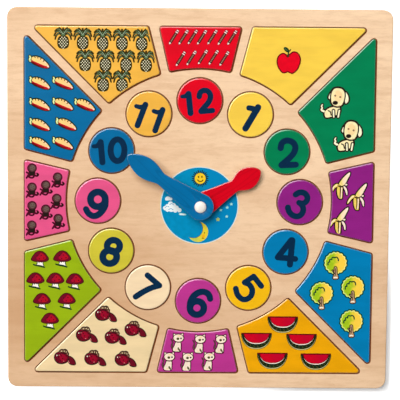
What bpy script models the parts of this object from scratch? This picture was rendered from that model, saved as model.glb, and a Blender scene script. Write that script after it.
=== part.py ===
"""Wooden clock puzzle, lying on its back: metres, +Z up, twelve o'clock towards +Y.

The origin is the middle of the board's underside. A thin base board closes the cut-outs of the
top board from below. Twelve number discs and twelve picture pieces lie in the cut-outs, and two
hands turn on one pivot rivet, which a flanged cap holds from the underside.
"""
import math

import bmesh
import bpy
from mathutils import Matrix, Vector

# Board
BOARD_CORNER_RADIUS = 0.0075
BASE_THICKNESS = 0.003
TOP_THICKNESS = 0.0036
BOARD_EDGE_SOFTENING = 0.0008
BORDER_WIDTH = 0.0135
PATTERN_SHIFT_Y = -0.0006

# Number discs
DISC_DIAMETER = 0.0349
DISC_LAND = 0.0061
ARC_LAND = 0.0078

# Picture pieces
SIDE_PIECE_DEPTH = 0.032044
RIM_LAND = 0.0090
INNER_LAND = 0.0078
DIAGONAL_LAND = 0.0084
PIECE_THICKNESS = 0.0052
PIECE_CORNER_RADIUS = 0.0017
PIECE_EDGE_SOFTENING = 0.0006
SIDE_PIECE_HALF_ANGLE = math.radians(13.1)

# Hands
PIVOT_X = 0.0011
PIVOT_Y = -0.0040
HAND_THICKNESS = 0.003
HAND_HUB_RADIUS = 0.0104
HAND_NECK_HALF_WIDTH = 0.0049
HAND_EDGE_SOFTENING = 0.0005
MINUTE_NECK_REACH = 0.037
MINUTE_BLADE_LENGTH = 0.0326
MINUTE_BLADE_HALF_WIDTH = 0.0083
HOUR_NECK_REACH = 0.031
HOUR_BLADE_LENGTH = 0.0238
HOUR_BLADE_HALF_WIDTH = 0.0086
MINUTE_CLOCK_ANGLE = math.radians(305.2)
HOUR_CLOCK_ANGLE = math.radians(58.6)

# Pivot
SHANK_DIAMETER = 0.004
HEAD_DIAMETER = 0.0092
HEAD_HEIGHT = 0.0025
HEAD_RIM_HEIGHT = 0.0005
SHANK_TIP_CHAMFER = 0.0004
CAP_SLEEVE_WALL = 0.0009
CAP_FLANGE_DIAMETER = 0.0116
CAP_FLANGE_THICKNESS = 0.0014
CAP_FLOOR = 0.0007
BOARD_WASHER_DIAMETER = 0.014
HAND_WASHER_DIAMETER = 0.012
HAND_WASHER_THICKNESS = 0.0005

# Clearances
TOUCH_GAP = 0.0003
PIECE_SIDE_CLEARANCE = 0.0004
RUNNING_CLEARANCE = 0.0003
CUT_OVERRUN = 0.001
WELD_DISTANCE = 0.00002

# Counts
HOURS = 12
QUARTERS = 4
DISC_SEGMENTS = 36
PIVOT_SEGMENTS = 24
ARC_STEPS = 8
CORNER_STEPS = 4
BOARD_CORNER_STEPS = 6
BEZIER_STEPS = 7
DOME_STEPS = 5
RIM_SEGMENTS = 2

# Faces count as flat, and edges between them are dissolved, within these
FLAT_ANGLE = math.radians(0.2)
FLAT_NORMAL_SHARE = 0.99
SHARP_ANGLE = math.radians(32)

# A cubic's handle that makes a quarter circle, as a share of the radius
QUARTER_ARC_SHARE = 0.5523
# Handles of a hand's outline, as shares of the arm's reach and lean, the blade's length and half width
ARM_HANDLE_SHARE = 0.30
NECK_LEAN_SHARE = 0.75
NECK_HANDLE_SHARE = 0.11
WIDEST_PLACE_SHARE = 0.475
WIDEST_LOWER_HANDLE_SHARE = 0.23
WIDEST_UPPER_HANDLE_SHARE = 0.26
TIP_HANDLE_SHARE = 0.32

# Derived sizes and heights
HOUR_STEP = math.tau / HOURS
DISC_RADIUS = DISC_DIAMETER / 2
DISC_RING_RADIUS = (DISC_DIAMETER + DISC_LAND) / 2 / math.sin(HOUR_STEP / 2)
PIECE_ARC_RADIUS = DISC_RING_RADIUS + DISC_RADIUS + ARC_LAND
PIECE_HALF_SIDE = PIECE_ARC_RADIUS + SIDE_PIECE_DEPTH
BOARD_SIDE = 2 * (PIECE_HALF_SIDE + BORDER_WIDTH)
TOP_FLOOR_Z = BASE_THICKNESS + TOUCH_GAP
SURFACE_Z = TOP_FLOOR_Z + TOP_THICKNESS
PIECE_FLOOR_Z = BASE_THICKNESS + TOUCH_GAP
PIECE_TOP_Z = PIECE_FLOOR_Z + PIECE_THICKNESS
HIGHEST_REST_Z = max(PIECE_TOP_Z, SURFACE_Z)
BOARD_WASHER_Z = SURFACE_Z + TOUCH_GAP
HOUR_HAND_Z = HIGHEST_REST_Z + RUNNING_CLEARANCE
BOARD_WASHER_THICKNESS = HOUR_HAND_Z - TOUCH_GAP - BOARD_WASHER_Z
HAND_WASHER_Z = HOUR_HAND_Z + HAND_THICKNESS + TOUCH_GAP
MINUTE_HAND_Z = HAND_WASHER_Z + HAND_WASHER_THICKNESS + TOUCH_GAP
HEAD_Z = MINUTE_HAND_Z + HAND_THICKNESS + TOUCH_GAP
PIVOT_BORE_RADIUS = SHANK_DIAMETER / 2 + RUNNING_CLEARANCE
SLEEVE_RADIUS = PIVOT_BORE_RADIUS + CAP_SLEEVE_WALL
CAP_Z = TOUCH_GAP
COUNTERBORE_DEPTH = CAP_Z + CAP_FLANGE_THICKNESS + TOUCH_GAP
SLEEVE_TOP_Z = SURFACE_Z
SHANK_END_Z = CAP_Z + CAP_FLOOR + TOUCH_GAP
BOARD_BORE_RADIUS = SLEEVE_RADIUS + TOUCH_GAP
COUNTERBORE_RADIUS = CAP_FLANGE_DIAMETER / 2 + TOUCH_GAP

COLOURS = {
    "board": (0.72, 0.50, 0.31),
    "red": (0.62, 0.01, 0.02),
    "yellow": (0.90, 0.64, 0.09),
    "green": (0.00, 0.20, 0.08),
    "purple": (0.23, 0.01, 0.22),
    "blue": (0.00, 0.18, 0.50),
    "orange": (0.88, 0.42, 0.01),
    "magenta": (0.46, 0.03, 0.28),
    "cream": (0.84, 0.63, 0.36),
    "lime": (0.38, 0.46, 0.02),
    "pink": (0.66, 0.10, 0.27),
    "amber": (0.85, 0.41, 0.07),
    "hand_red": (0.60, 0.00, 0.02),
    "hand_blue": (0.00, 0.13, 0.42),
    "white_plastic": (0.85, 0.83, 0.80),
}
PAINT_ROUGHNESS_SHARE = 0.40
WOOD_ROUGHNESS_SHARE = 0.60
PLASTIC_ROUGHNESS_SHARE = 0.25

# The colour of each hour's disc and picture piece, from one o'clock to twelve o'clock
HOUR_COLOURS = [
    "yellow", "green", "purple", "blue", "orange", "magenta",
    "cream", "lime", "pink", "blue", "amber", "red",
]


def clear_scene():
    """Remove every object, so that the script can be run again."""
    for item in list(bpy.data.objects):
        bpy.data.objects.remove(item, do_unlink=True)


def new_collection(name):
    """Return an empty collection under the scene's own."""
    old = bpy.data.collections.get(name)
    if old is not None:
        bpy.data.collections.remove(old)
    collection = bpy.data.collections.new(name)
    bpy.context.scene.collection.children.link(collection)
    return collection


def new_material(name, colour, roughness):
    """Return a Principled material of one colour."""
    material = bpy.data.materials.new(name)
    material.use_nodes = True
    shader = material.node_tree.nodes["Principled BSDF"]
    shader.inputs["Base Color"].default_value = (*colour, 1.0)
    shader.inputs["Roughness"].default_value = roughness
    shader.inputs["Metallic"].default_value = 0.0
    material.diffuse_color = (*colour, 1.0)
    return material


def place(item, collection, location, parent=None):
    """Link an object, put it at its place and shade its round walls smooth."""
    collection.objects.link(item)
    item.location = location
    if parent is not None:
        item.parent = parent
        item.location = Vector(location) - parent.location
    item.data.shade_smooth()
    item.data.set_sharp_from_angle(angle=SHARP_ANGLE)
    return item


def paint(item, material):
    """Give an object its one material."""
    item.data.materials.clear()
    item.data.materials.append(material)
    return item


# Outlines, as lists of 2D points that run anticlockwise


def fillet(before, corner, after, radius, steps):
    """Return the points of an arc that rounds one corner of a polygon."""
    into = (before - corner).normalized()
    out = (after - corner).normalized()
    half_angle = into.angle(out) / 2
    cut_back = radius / math.tan(half_angle)
    centre = corner + (into + out).normalized() * (radius / math.sin(half_angle))
    start = corner + into * cut_back - centre
    turn = start.angle_signed(corner + out * cut_back - centre)
    points = []
    for step in range(steps + 1):
        angle = turn * step / steps
        points.append(centre + Matrix.Rotation(-angle, 2) @ start)
    return points


def rounded_polygon(corners, radius, steps):
    """Return a polygon's points with every corner rounded."""
    points = []
    for index, corner in enumerate(corners):
        after = corners[(index + 1) % len(corners)]
        points.extend(fillet(corners[index - 1], corner, after, radius, steps))
    return points


def square_outline(side, radius):
    """Return a square with round corners about the origin."""
    half = side / 2
    corners = [
        Vector((half, -half)),
        Vector((half, half)),
        Vector((-half, half)),
        Vector((-half, -half)),
    ]
    return rounded_polygon(corners, radius, BOARD_CORNER_STEPS)


def line_through(start, end, push):
    """Return a line as a point and a direction, moved to the right of its direction by push."""
    direction = (end - start).normalized()
    right = Vector((direction.y, -direction.x))
    return start + right * push, direction


def meet_level(line, level):
    """Return the point where a line has the given y."""
    point, direction = line
    return point + direction * ((level - point.y) / direction.y)


def meet_circle(line, radius):
    """Return the point at the upper side where a line meets a circle about the origin."""
    point, direction = line
    along = point.dot(direction)
    nearest = point - direction * along
    reach = math.sqrt(radius ** 2 - nearest.length_squared)
    return nearest + direction * math.copysign(reach, direction.y)


def arc_between(start, end, steps):
    """Return the inner points of an arc about the origin from start to end."""
    turn = start.angle_signed(end)
    return [Matrix.Rotation(-turn * step / steps, 2) @ start for step in range(1, steps)]


def piece_outline(right_line, left_line, grow):
    """Return a picture piece's outline from its two side lines.

    The outer side lies at PIECE_HALF_SIDE and the inner side follows the ring of discs. With grow
    set, the outline is that of the cut-out which holds the piece.
    """
    level = PIECE_HALF_SIDE + grow
    arc_radius = PIECE_ARC_RADIUS - grow
    radius = PIECE_CORNER_RADIUS + grow
    outer_right = meet_level(right_line, level)
    outer_left = meet_level(left_line, level)
    inner_left = meet_circle(left_line, arc_radius)
    inner_right = meet_circle(right_line, arc_radius)
    arc = arc_between(inner_left, inner_right, ARC_STEPS)
    points = fillet(inner_right, outer_right, outer_left, radius, CORNER_STEPS)
    points += fillet(outer_right, outer_left, inner_left, radius, CORNER_STEPS)
    points += fillet(outer_left, inner_left, arc[0], radius, CORNER_STEPS)
    points += arc
    points += fillet(arc[-1], inner_right, outer_right, radius, CORNER_STEPS)
    return points


def side_corner(radius_or_level, on_arc):
    """Return the right-hand corner of the twelve o'clock piece, at its rim or at its arc."""
    direction = Vector((math.sin(SIDE_PIECE_HALF_ANGLE), math.cos(SIDE_PIECE_HALF_ANGLE)))
    if on_arc:
        return direction * radius_or_level
    return direction * (radius_or_level / direction.y)


def middle_piece_outline(grow):
    """Return the outline of the twelve o'clock piece, which has two radial sides."""
    rim = side_corner(PIECE_HALF_SIDE, False)
    inner = side_corner(PIECE_ARC_RADIUS, True)
    right_line = line_through(inner, rim, grow)
    mirror = Matrix.Scale(-1, 2, Vector((1, 0)))
    left_line = line_through(mirror @ rim, mirror @ inner, grow)
    return piece_outline(right_line, left_line, grow)


def corner_piece_outline(grow):
    """Return the outline of the one o'clock piece, between a land and the board's diagonal."""
    rim = side_corner(PIECE_HALF_SIDE, False) + Vector((RIM_LAND, 0))
    inner_land_angle = 2 * math.asin(INNER_LAND / 2 / PIECE_ARC_RADIUS)
    inner = Matrix.Rotation(-inner_land_angle, 2) @ side_corner(PIECE_ARC_RADIUS, True)
    left_line = line_through(rim, inner, grow)
    diagonal = Vector((1, 1)).normalized()
    shift = Vector((-1, 1)).normalized() * (DIAGONAL_LAND / 2)
    right_line = line_through(shift, shift + diagonal * PIECE_HALF_SIDE, grow)
    return piece_outline(right_line, left_line, grow)


def hour_outline(hour, grow):
    """Return the outline of one hour's picture piece about the middle of the cut pattern."""
    quarter, place_in_quarter = divmod(hour % HOURS, HOURS // QUARTERS)
    if place_in_quarter == 0:
        outline = middle_piece_outline(grow)
    else:
        outline = corner_piece_outline(grow)
    if place_in_quarter == 2:
        outline = [Vector((point.y, point.x)) for point in reversed(outline)]
    turn = Matrix.Rotation(-math.tau * quarter / QUARTERS, 2)
    return [turn @ point for point in outline]


def middle_of(outline):
    """Return the middle of an outline's bounding box."""
    across = [point.x for point in outline]
    along = [point.y for point in outline]
    return Vector(((min(across) + max(across)) / 2, (min(along) + max(along)) / 2))


# Solids


def add_poly_spline(curve, points):
    """Add a closed spline with straight steps to a 2D curve."""
    spline = curve.splines.new("POLY")
    spline.points.add(len(points) - 1)
    for knot, point in zip(spline.points, points):
        knot.co = (point.x, point.y, 0.0, 1.0)
    spline.use_cyclic_u = True


def add_bezier_spline(curve, knots):
    """Add a closed Bezier spline; each knot holds its place and its two handles."""
    spline = curve.splines.new("BEZIER")
    spline.bezier_points.add(len(knots) - 1)
    for knot, (place_at, handle_in, handle_out) in zip(spline.bezier_points, knots):
        knot.handle_left_type = "FREE"
        knot.handle_right_type = "FREE"
        knot.co = place_at.to_3d()
        knot.handle_left = handle_in.to_3d()
        knot.handle_right = handle_out.to_3d()
    spline.use_cyclic_u = True


def plate_mesh(name, thickness, fill_curve):
    """Extrude a flat outline into a closed mesh that stands on z = 0."""
    curve = bpy.data.curves.new(name, "CURVE")
    curve.dimensions = "2D"
    curve.fill_mode = "BOTH"
    curve.extrude = thickness / 2
    curve.resolution_u = BEZIER_STEPS
    fill_curve(curve)
    guide = bpy.data.objects.new(name, curve)
    bpy.context.scene.collection.objects.link(guide)
    evaluated = guide.evaluated_get(bpy.context.evaluated_depsgraph_get())
    mesh = bpy.data.meshes.new_from_object(evaluated)
    mesh.name = name
    bpy.data.objects.remove(guide, do_unlink=True)
    bpy.data.curves.remove(curve)
    work = bmesh.new()
    work.from_mesh(mesh)
    bmesh.ops.remove_doubles(work, verts=work.verts, dist=WELD_DISTANCE)
    bmesh.ops.dissolve_limit(work, angle_limit=FLAT_ANGLE, verts=work.verts, edges=work.edges)
    bmesh.ops.translate(work, verts=work.verts, vec=(0, 0, thickness / 2))
    bmesh.ops.recalc_face_normals(work, faces=work.faces)
    work.to_mesh(mesh)
    work.free()
    return mesh


def disc_mesh(name, radius, thickness, segments):
    """Return a round plate that stands on z = 0."""
    mesh = bpy.data.meshes.new(name)
    work = bmesh.new()
    bmesh.ops.create_cone(
        work, cap_ends=True, segments=segments, radius1=radius, radius2=radius, depth=thickness
    )
    bmesh.ops.translate(work, verts=work.verts, vec=(0, 0, thickness / 2))
    work.to_mesh(mesh)
    work.free()
    return mesh


def soften_rim(mesh, level, width, segments):
    """Round the rim where a plate's wall meets its flat face at the given height."""
    work = bmesh.new()
    work.from_mesh(mesh)
    flat = [face for face in work.faces if abs(face.normal.z) > FLAT_NORMAL_SHARE]
    rim = set()
    for face in flat:
        if abs(face.calc_center_median().z - level) < WELD_DISTANCE:
            rim.update(face.edges)
    bmesh.ops.bevel(
        work, geom=list(rim), offset=width, offset_type="OFFSET", segments=segments, profile=0.5,
        affect="EDGES", clamp_overlap=True,
    )
    work.to_mesh(mesh)
    work.free()
    return mesh


def turned_object(name, profile, segments):
    """Return an object whose profile of (radius, height) points a Screw modifier turns about Z."""
    mesh = bpy.data.meshes.new(name)
    points = [(radius, 0.0, height) for radius, height in profile]
    edges = [(index, index + 1) for index in range(len(points) - 1)]
    mesh.from_pydata(points, edges, [])
    item = bpy.data.objects.new(name, mesh)
    screw = item.modifiers.new("turn", "SCREW")
    screw.steps = segments
    screw.render_steps = segments
    screw.use_merge_vertices = True
    screw.merge_threshold = WELD_DISTANCE
    screw.use_smooth_shade = True
    return item


def cut(item, cutter, name):
    """Subtract a cutter from an object."""
    boolean = item.modifiers.new(name, "BOOLEAN")
    boolean.operation = "DIFFERENCE"
    boolean.solver = "EXACT"
    boolean.object = cutter
    return item


def cut_all(item, cutters, name):
    """Subtract every object of a collection from an object."""
    boolean = item.modifiers.new(name, "BOOLEAN")
    boolean.operation = "DIFFERENCE"
    boolean.solver = "EXACT"
    boolean.operand_type = "COLLECTION"
    boolean.collection = cutters
    return item


def new_cutter(name, mesh, collection, location):
    """Return a cutter: it shows as wires and is left out of renders."""
    cutter = bpy.data.objects.new(name, mesh)
    cutter.display_type = "WIRE"
    cutter.hide_render = True
    collection.objects.link(cutter)
    cutter.location = location
    return cutter


# Sub-parts


def disc_home(hour):
    """Return the middle of one hour's disc on the board."""
    angle = hour * HOUR_STEP
    return Vector((math.sin(angle), math.cos(angle))) * DISC_RING_RADIUS + Vector((0, PATTERN_SHIFT_Y))


def make_base_board(parts, cutters, material):
    """The thin sheet under the cut-outs, with a counterbored hole for the pivot's cap."""
    outline = square_outline(BOARD_SIDE, BOARD_CORNER_RADIUS)
    mesh = plate_mesh("base_board", BASE_THICKNESS, lambda curve: add_poly_spline(curve, outline))
    soften_rim(mesh, 0.0, BOARD_EDGE_SOFTENING, RIM_SEGMENTS)
    board = place(bpy.data.objects.new("base_board", mesh), parts, (0, 0, 0))
    hole_mesh = disc_mesh(
        "base_bore_cutter", BOARD_BORE_RADIUS, BASE_THICKNESS + 2 * CUT_OVERRUN, PIVOT_SEGMENTS
    )
    hole = new_cutter("base_bore_cutter", hole_mesh, cutters, (PIVOT_X, PIVOT_Y, -CUT_OVERRUN))
    bore_mesh = disc_mesh(
        "counterbore_cutter", COUNTERBORE_RADIUS, COUNTERBORE_DEPTH + CUT_OVERRUN, PIVOT_SEGMENTS
    )
    bore = new_cutter("counterbore_cutter", bore_mesh, cutters, (PIVOT_X, PIVOT_Y, -CUT_OVERRUN))
    cut(board, hole, "pivot_hole")
    cut(board, bore, "counterbore")
    return paint(board, material)


def make_recess_cutters(collection):
    """One cutter for each cut-out of the top board, and one for the pivot's hole."""
    height = TOP_THICKNESS + 2 * CUT_OVERRUN
    floor = TOP_FLOOR_Z - CUT_OVERRUN
    round_mesh = disc_mesh("disc_recess_cutter", DISC_RADIUS + PIECE_SIDE_CLEARANCE, height, DISC_SEGMENTS)
    for hour in range(1, HOURS + 1):
        home = disc_home(hour)
        new_cutter(f"disc_recess_{hour:02d}", round_mesh, collection, (home.x, home.y, floor))
        outline = hour_outline(hour, PIECE_SIDE_CLEARANCE)
        name = f"picture_recess_{hour:02d}"
        mesh = plate_mesh(name, height, lambda curve: add_poly_spline(curve, outline))
        new_cutter(name, mesh, collection, (0, PATTERN_SHIFT_Y, floor))
    bore_mesh = disc_mesh("top_bore_cutter", BOARD_BORE_RADIUS, height, PIVOT_SEGMENTS)
    new_cutter("top_bore_cutter", bore_mesh, collection, (PIVOT_X, PIVOT_Y, floor))


def make_top_board(parts, recess_cutters, material):
    """The board that holds the pieces: a rounded square less its twenty-five cut-outs."""
    outline = square_outline(BOARD_SIDE, BOARD_CORNER_RADIUS)
    mesh = plate_mesh("top_board", TOP_THICKNESS, lambda curve: add_poly_spline(curve, outline))
    soften_rim(mesh, TOP_THICKNESS, BOARD_EDGE_SOFTENING, RIM_SEGMENTS)
    board = place(bpy.data.objects.new("top_board", mesh), parts, (0, 0, TOP_FLOOR_Z))
    cut_all(board, recess_cutters, "cut_outs")
    return paint(board, material)


def make_number_discs(parts, materials):
    """Twelve round pieces that share one mesh, in a ring."""
    shared = disc_mesh("number_disc", DISC_RADIUS, PIECE_THICKNESS, DISC_SEGMENTS)
    soften_rim(shared, PIECE_THICKNESS, PIECE_EDGE_SOFTENING, RIM_SEGMENTS)
    soften_rim(shared, 0.0, PIECE_EDGE_SOFTENING, 1)
    for hour in range(1, HOURS + 1):
        home = disc_home(hour)
        disc = bpy.data.objects.new(f"number_disc_{hour:02d}", shared.copy())
        place(disc, parts, (home.x, home.y, PIECE_FLOOR_Z))
        paint(disc, materials[HOUR_COLOURS[hour - 1]])


def make_picture_pieces(parts, materials):
    """Twelve flat pieces between the ring of discs and the board's border."""
    for hour in range(1, HOURS + 1):
        outline = hour_outline(hour, 0.0)
        home = middle_of(outline)
        name = f"picture_piece_{hour:02d}"
        local = [point - home for point in outline]
        mesh = plate_mesh(name, PIECE_THICKNESS, lambda curve: add_poly_spline(curve, local))
        soften_rim(mesh, PIECE_THICKNESS, PIECE_EDGE_SOFTENING, RIM_SEGMENTS)
        soften_rim(mesh, 0.0, PIECE_EDGE_SOFTENING, 1)
        piece = bpy.data.objects.new(name, mesh)
        place(piece, parts, (home.x, home.y + PATTERN_SHIFT_Y, PIECE_FLOOR_Z))
        paint(piece, materials[HOUR_COLOURS[hour - 1]])


def hand_knots(neck_reach, blade_length, blade_half_width):
    """Return the Bezier knots of a hand that points along +Y, with its hub about the origin."""
    hub_handle = HAND_HUB_RADIUS * QUARTER_ARC_SHARE
    arm_handle = neck_reach * ARM_HANDLE_SHARE
    neck_handle = blade_length * NECK_HANDLE_SHARE
    widest = neck_reach + blade_length * WIDEST_PLACE_SHARE
    lower = blade_length * WIDEST_LOWER_HANDLE_SHARE
    upper = blade_length * WIDEST_UPPER_HANDLE_SHARE
    tip = neck_reach + blade_length
    tip_handle = blade_half_width * TIP_HANDLE_SHARE
    lean = (HAND_HUB_RADIUS - HAND_NECK_HALF_WIDTH) / neck_reach
    right_side = [
        (
            Vector((HAND_HUB_RADIUS, 0)),
            Vector((HAND_HUB_RADIUS, -hub_handle)),
            Vector((HAND_HUB_RADIUS - lean * arm_handle, arm_handle)),
        ),
        (
            Vector((HAND_NECK_HALF_WIDTH, neck_reach)),
            Vector((HAND_NECK_HALF_WIDTH + lean * arm_handle * NECK_LEAN_SHARE, neck_reach - arm_handle)),
            Vector((HAND_NECK_HALF_WIDTH, neck_reach + neck_handle)),
        ),
        (
            Vector((blade_half_width, widest)),
            Vector((blade_half_width, widest - lower)),
            Vector((blade_half_width, widest + upper)),
        ),
    ]
    bottom = (Vector((0, -HAND_HUB_RADIUS)), Vector((-hub_handle, -HAND_HUB_RADIUS)),
              Vector((hub_handle, -HAND_HUB_RADIUS)))
    top = (Vector((0, tip)), Vector((tip_handle, tip)), Vector((-tip_handle, tip)))
    mirror = Matrix.Scale(-1, 2, Vector((1, 0)))
    left_side = []
    for at, handle_in, handle_out in reversed(right_side):
        left_side.append((mirror @ at, mirror @ handle_out, mirror @ handle_in))
    return [bottom, *right_side, top, *left_side]


def make_hand(name, knots, height, clock_angle, parts, bore, parent, material):
    """A hand with softened edges and a hole for the rivet's shank, turned to its hour."""
    mesh = plate_mesh(name, HAND_THICKNESS, lambda curve: add_bezier_spline(curve, knots))
    soften_rim(mesh, HAND_THICKNESS, HAND_EDGE_SOFTENING, RIM_SEGMENTS)
    soften_rim(mesh, 0.0, HAND_EDGE_SOFTENING, 1)
    hand = bpy.data.objects.new(name, mesh)
    place(hand, parts, (PIVOT_X, PIVOT_Y, height), parent)
    hand.rotation_euler.z = -clock_angle
    cut(hand, bore, "pivot_hole")
    return paint(hand, material)


def make_hands(parts, cutters, parent, materials):
    """The hour hand and, over it, the minute hand."""
    bore_mesh = disc_mesh("hand_bore_cutter", PIVOT_BORE_RADIUS, HEAD_Z - SURFACE_Z, PIVOT_SEGMENTS)
    bore = new_cutter("hand_bore_cutter", bore_mesh, cutters, (PIVOT_X, PIVOT_Y, SURFACE_Z))
    hour_knots = hand_knots(HOUR_NECK_REACH, HOUR_BLADE_LENGTH, HOUR_BLADE_HALF_WIDTH)
    make_hand("hour_hand", hour_knots, HOUR_HAND_Z, HOUR_CLOCK_ANGLE, parts, bore, parent,
              materials["hand_red"])
    minute_knots = hand_knots(MINUTE_NECK_REACH, MINUTE_BLADE_LENGTH, MINUTE_BLADE_HALF_WIDTH)
    make_hand("minute_hand", minute_knots, MINUTE_HAND_Z, MINUTE_CLOCK_ANGLE, parts, bore, parent,
              materials["hand_blue"])


def dome_profile():
    """Return the rivet head's outer line, from its crown down to its rim."""
    rim_z = HEAD_Z + HEAD_RIM_HEIGHT
    crown_height = HEAD_HEIGHT - HEAD_RIM_HEIGHT
    points = [(0.0, rim_z + crown_height)]
    for step in range(1, DOME_STEPS + 1):
        angle = math.pi / 2 * step / DOME_STEPS
        points.append((HEAD_DIAMETER / 2 * math.sin(angle), rim_z + crown_height * math.cos(angle)))
    return points


def make_pivot_rivet(parts, parent, material):
    """The pivot's upper half: a domed head over the hands and a shank through the boards."""
    shank = SHANK_DIAMETER / 2
    profile = dome_profile() + [
        (HEAD_DIAMETER / 2, HEAD_Z),
        (shank, HEAD_Z),
        (shank, SHANK_END_Z + SHANK_TIP_CHAMFER),
        (shank - SHANK_TIP_CHAMFER, SHANK_END_Z),
        (0.0, SHANK_END_Z),
    ]
    return make_turned("pivot_rivet", profile, parts, parent, material)


def make_rivet_cap(parts, parent, material):
    """The pivot's lower half: a flange let into the base, with a sleeve for the shank."""
    flange_top = CAP_Z + CAP_FLANGE_THICKNESS
    profile = [
        (0.0, CAP_Z + CAP_FLOOR),
        (PIVOT_BORE_RADIUS, CAP_Z + CAP_FLOOR),
        (PIVOT_BORE_RADIUS, SLEEVE_TOP_Z),
        (SLEEVE_RADIUS, SLEEVE_TOP_Z),
        (SLEEVE_RADIUS, flange_top),
        (CAP_FLANGE_DIAMETER / 2, flange_top),
        (CAP_FLANGE_DIAMETER / 2, CAP_Z),
        (0.0, CAP_Z),
    ]
    return make_turned("rivet_cap", profile, parts, parent, material)


def make_turned(name, profile, parts, parent, material):
    """Turn a profile about the pivot's axis and put it in place."""
    item = turned_object(name, profile, PIVOT_SEGMENTS)
    place(item, parts, (PIVOT_X, PIVOT_Y, 0), parent)
    return paint(item, material)


def make_washer(name, diameter, thickness, height, parts, parent, material):
    """A flat ring round the rivet's shank."""
    top = height + thickness
    profile = [
        (PIVOT_BORE_RADIUS, top),
        (diameter / 2, top),
        (diameter / 2, height),
        (PIVOT_BORE_RADIUS, height),
        (PIVOT_BORE_RADIUS, top),
    ]
    return make_turned(name, profile, parts, parent, material)


def make_materials():
    """One Principled material for each finish."""
    materials = {}
    for name, colour in COLOURS.items():
        roughness = PAINT_ROUGHNESS_SHARE
        if name == "board":
            roughness = WOOD_ROUGHNESS_SHARE
        if name == "white_plastic":
            roughness = PLASTIC_ROUGHNESS_SHARE
        materials[name] = new_material(name, colour, roughness)
    return materials


def main():
    """Build the whole clock puzzle."""
    clear_scene()
    parts = new_collection("clock_puzzle")
    cutters = new_collection("clock_puzzle_cutters")
    recess_cutters = new_collection("clock_puzzle_recess_cutters")
    materials = make_materials()
    pivot = bpy.data.objects.new("pivot_axis", None)
    parts.objects.link(pivot)
    pivot.location = (PIVOT_X, PIVOT_Y, 0)
    make_base_board(parts, cutters, materials["board"])
    make_recess_cutters(recess_cutters)
    make_top_board(parts, recess_cutters, materials["board"])
    make_number_discs(parts, materials)
    make_picture_pieces(parts, materials)
    make_hands(parts, cutters, pivot, materials)
    white = materials["white_plastic"]
    make_pivot_rivet(parts, pivot, white)
    make_rivet_cap(parts, pivot, white)
    make_washer(
        "board_washer", BOARD_WASHER_DIAMETER, BOARD_WASHER_THICKNESS, BOARD_WASHER_Z, parts, pivot, white
    )
    make_washer(
        "hand_washer", HAND_WASHER_DIAMETER, HAND_WASHER_THICKNESS, HAND_WASHER_Z, parts, pivot, white
    )


main()
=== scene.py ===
"""Looks of the wooden clock puzzle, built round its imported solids.

The drawing tables are in millimetres, and whatever goes to Blender is in metres. The puzzle lies
on its back with twelve o'clock towards +Y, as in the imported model.
"""
import logging
import math
from abc import ABC, abstractmethod
from collections.abc import Iterable, Sequence
from dataclasses import dataclass, field
from enum import Enum
from typing import ClassVar

import bmesh
import bpy
from mathutils import Euler, Matrix, Vector
from mathutils.geometry import delaunay_2d_cdt


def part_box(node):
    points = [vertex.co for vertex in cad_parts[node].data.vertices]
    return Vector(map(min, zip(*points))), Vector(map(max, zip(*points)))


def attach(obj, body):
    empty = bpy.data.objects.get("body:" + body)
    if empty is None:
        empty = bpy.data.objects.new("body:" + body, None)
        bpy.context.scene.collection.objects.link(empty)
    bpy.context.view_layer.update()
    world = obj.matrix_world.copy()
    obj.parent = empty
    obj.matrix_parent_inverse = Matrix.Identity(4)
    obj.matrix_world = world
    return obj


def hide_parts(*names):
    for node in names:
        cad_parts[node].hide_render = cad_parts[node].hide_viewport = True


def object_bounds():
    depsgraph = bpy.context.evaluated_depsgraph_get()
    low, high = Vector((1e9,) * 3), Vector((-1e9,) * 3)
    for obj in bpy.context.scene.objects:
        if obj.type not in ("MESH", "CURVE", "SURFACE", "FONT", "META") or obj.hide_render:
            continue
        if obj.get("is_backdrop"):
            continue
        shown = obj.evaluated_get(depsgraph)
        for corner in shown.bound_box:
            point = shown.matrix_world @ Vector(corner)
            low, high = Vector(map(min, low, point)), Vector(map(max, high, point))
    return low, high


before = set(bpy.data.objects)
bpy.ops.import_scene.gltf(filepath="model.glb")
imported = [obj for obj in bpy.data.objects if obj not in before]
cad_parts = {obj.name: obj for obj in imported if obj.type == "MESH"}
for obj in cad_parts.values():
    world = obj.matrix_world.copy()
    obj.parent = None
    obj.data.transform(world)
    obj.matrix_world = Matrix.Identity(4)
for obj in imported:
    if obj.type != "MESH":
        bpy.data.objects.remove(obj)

LOG = logging.getLogger("clock_puzzle")
MM = 0.001
HOURS = 12
PHOTO_PIXELS = 400
# How many veneers a loose piece or a hand has
PIECE_PLIES = 3
# How many steps the round end of a drawn line has
END_STEPS = 16
# The triangulation's output that stays inside its loops, and how exact it is
INSIDE = 1
EXACTNESS = 1e-5
# Corners nearer to each other than this are one corner, in metres
SAME_PLACE = 0.001 * MM
# A radius under this lies on the axis, in metres
ON_AXIS = 0.01 * MM
# A face whose normal rises less than this is a wall, and one whose normal rises more is a top
WALL_RISE = 0.05
# A corner moves no further than an inset's depth divided by this
LEAST_SPREAD = 0.5
# Full white, as a shader's colour socket takes it
WHITE = (1.0, 1.0, 1.0, 1.0)

Point = tuple[float, float]
Shape = tuple[Point, ...]
Shapes = tuple[Shape, ...]
Loop = list[Vector]
Triple = tuple[float, float, float]
Socket = bpy.types.NodeSocket
Material = bpy.types.Material


# Colours and node graphs


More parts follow.
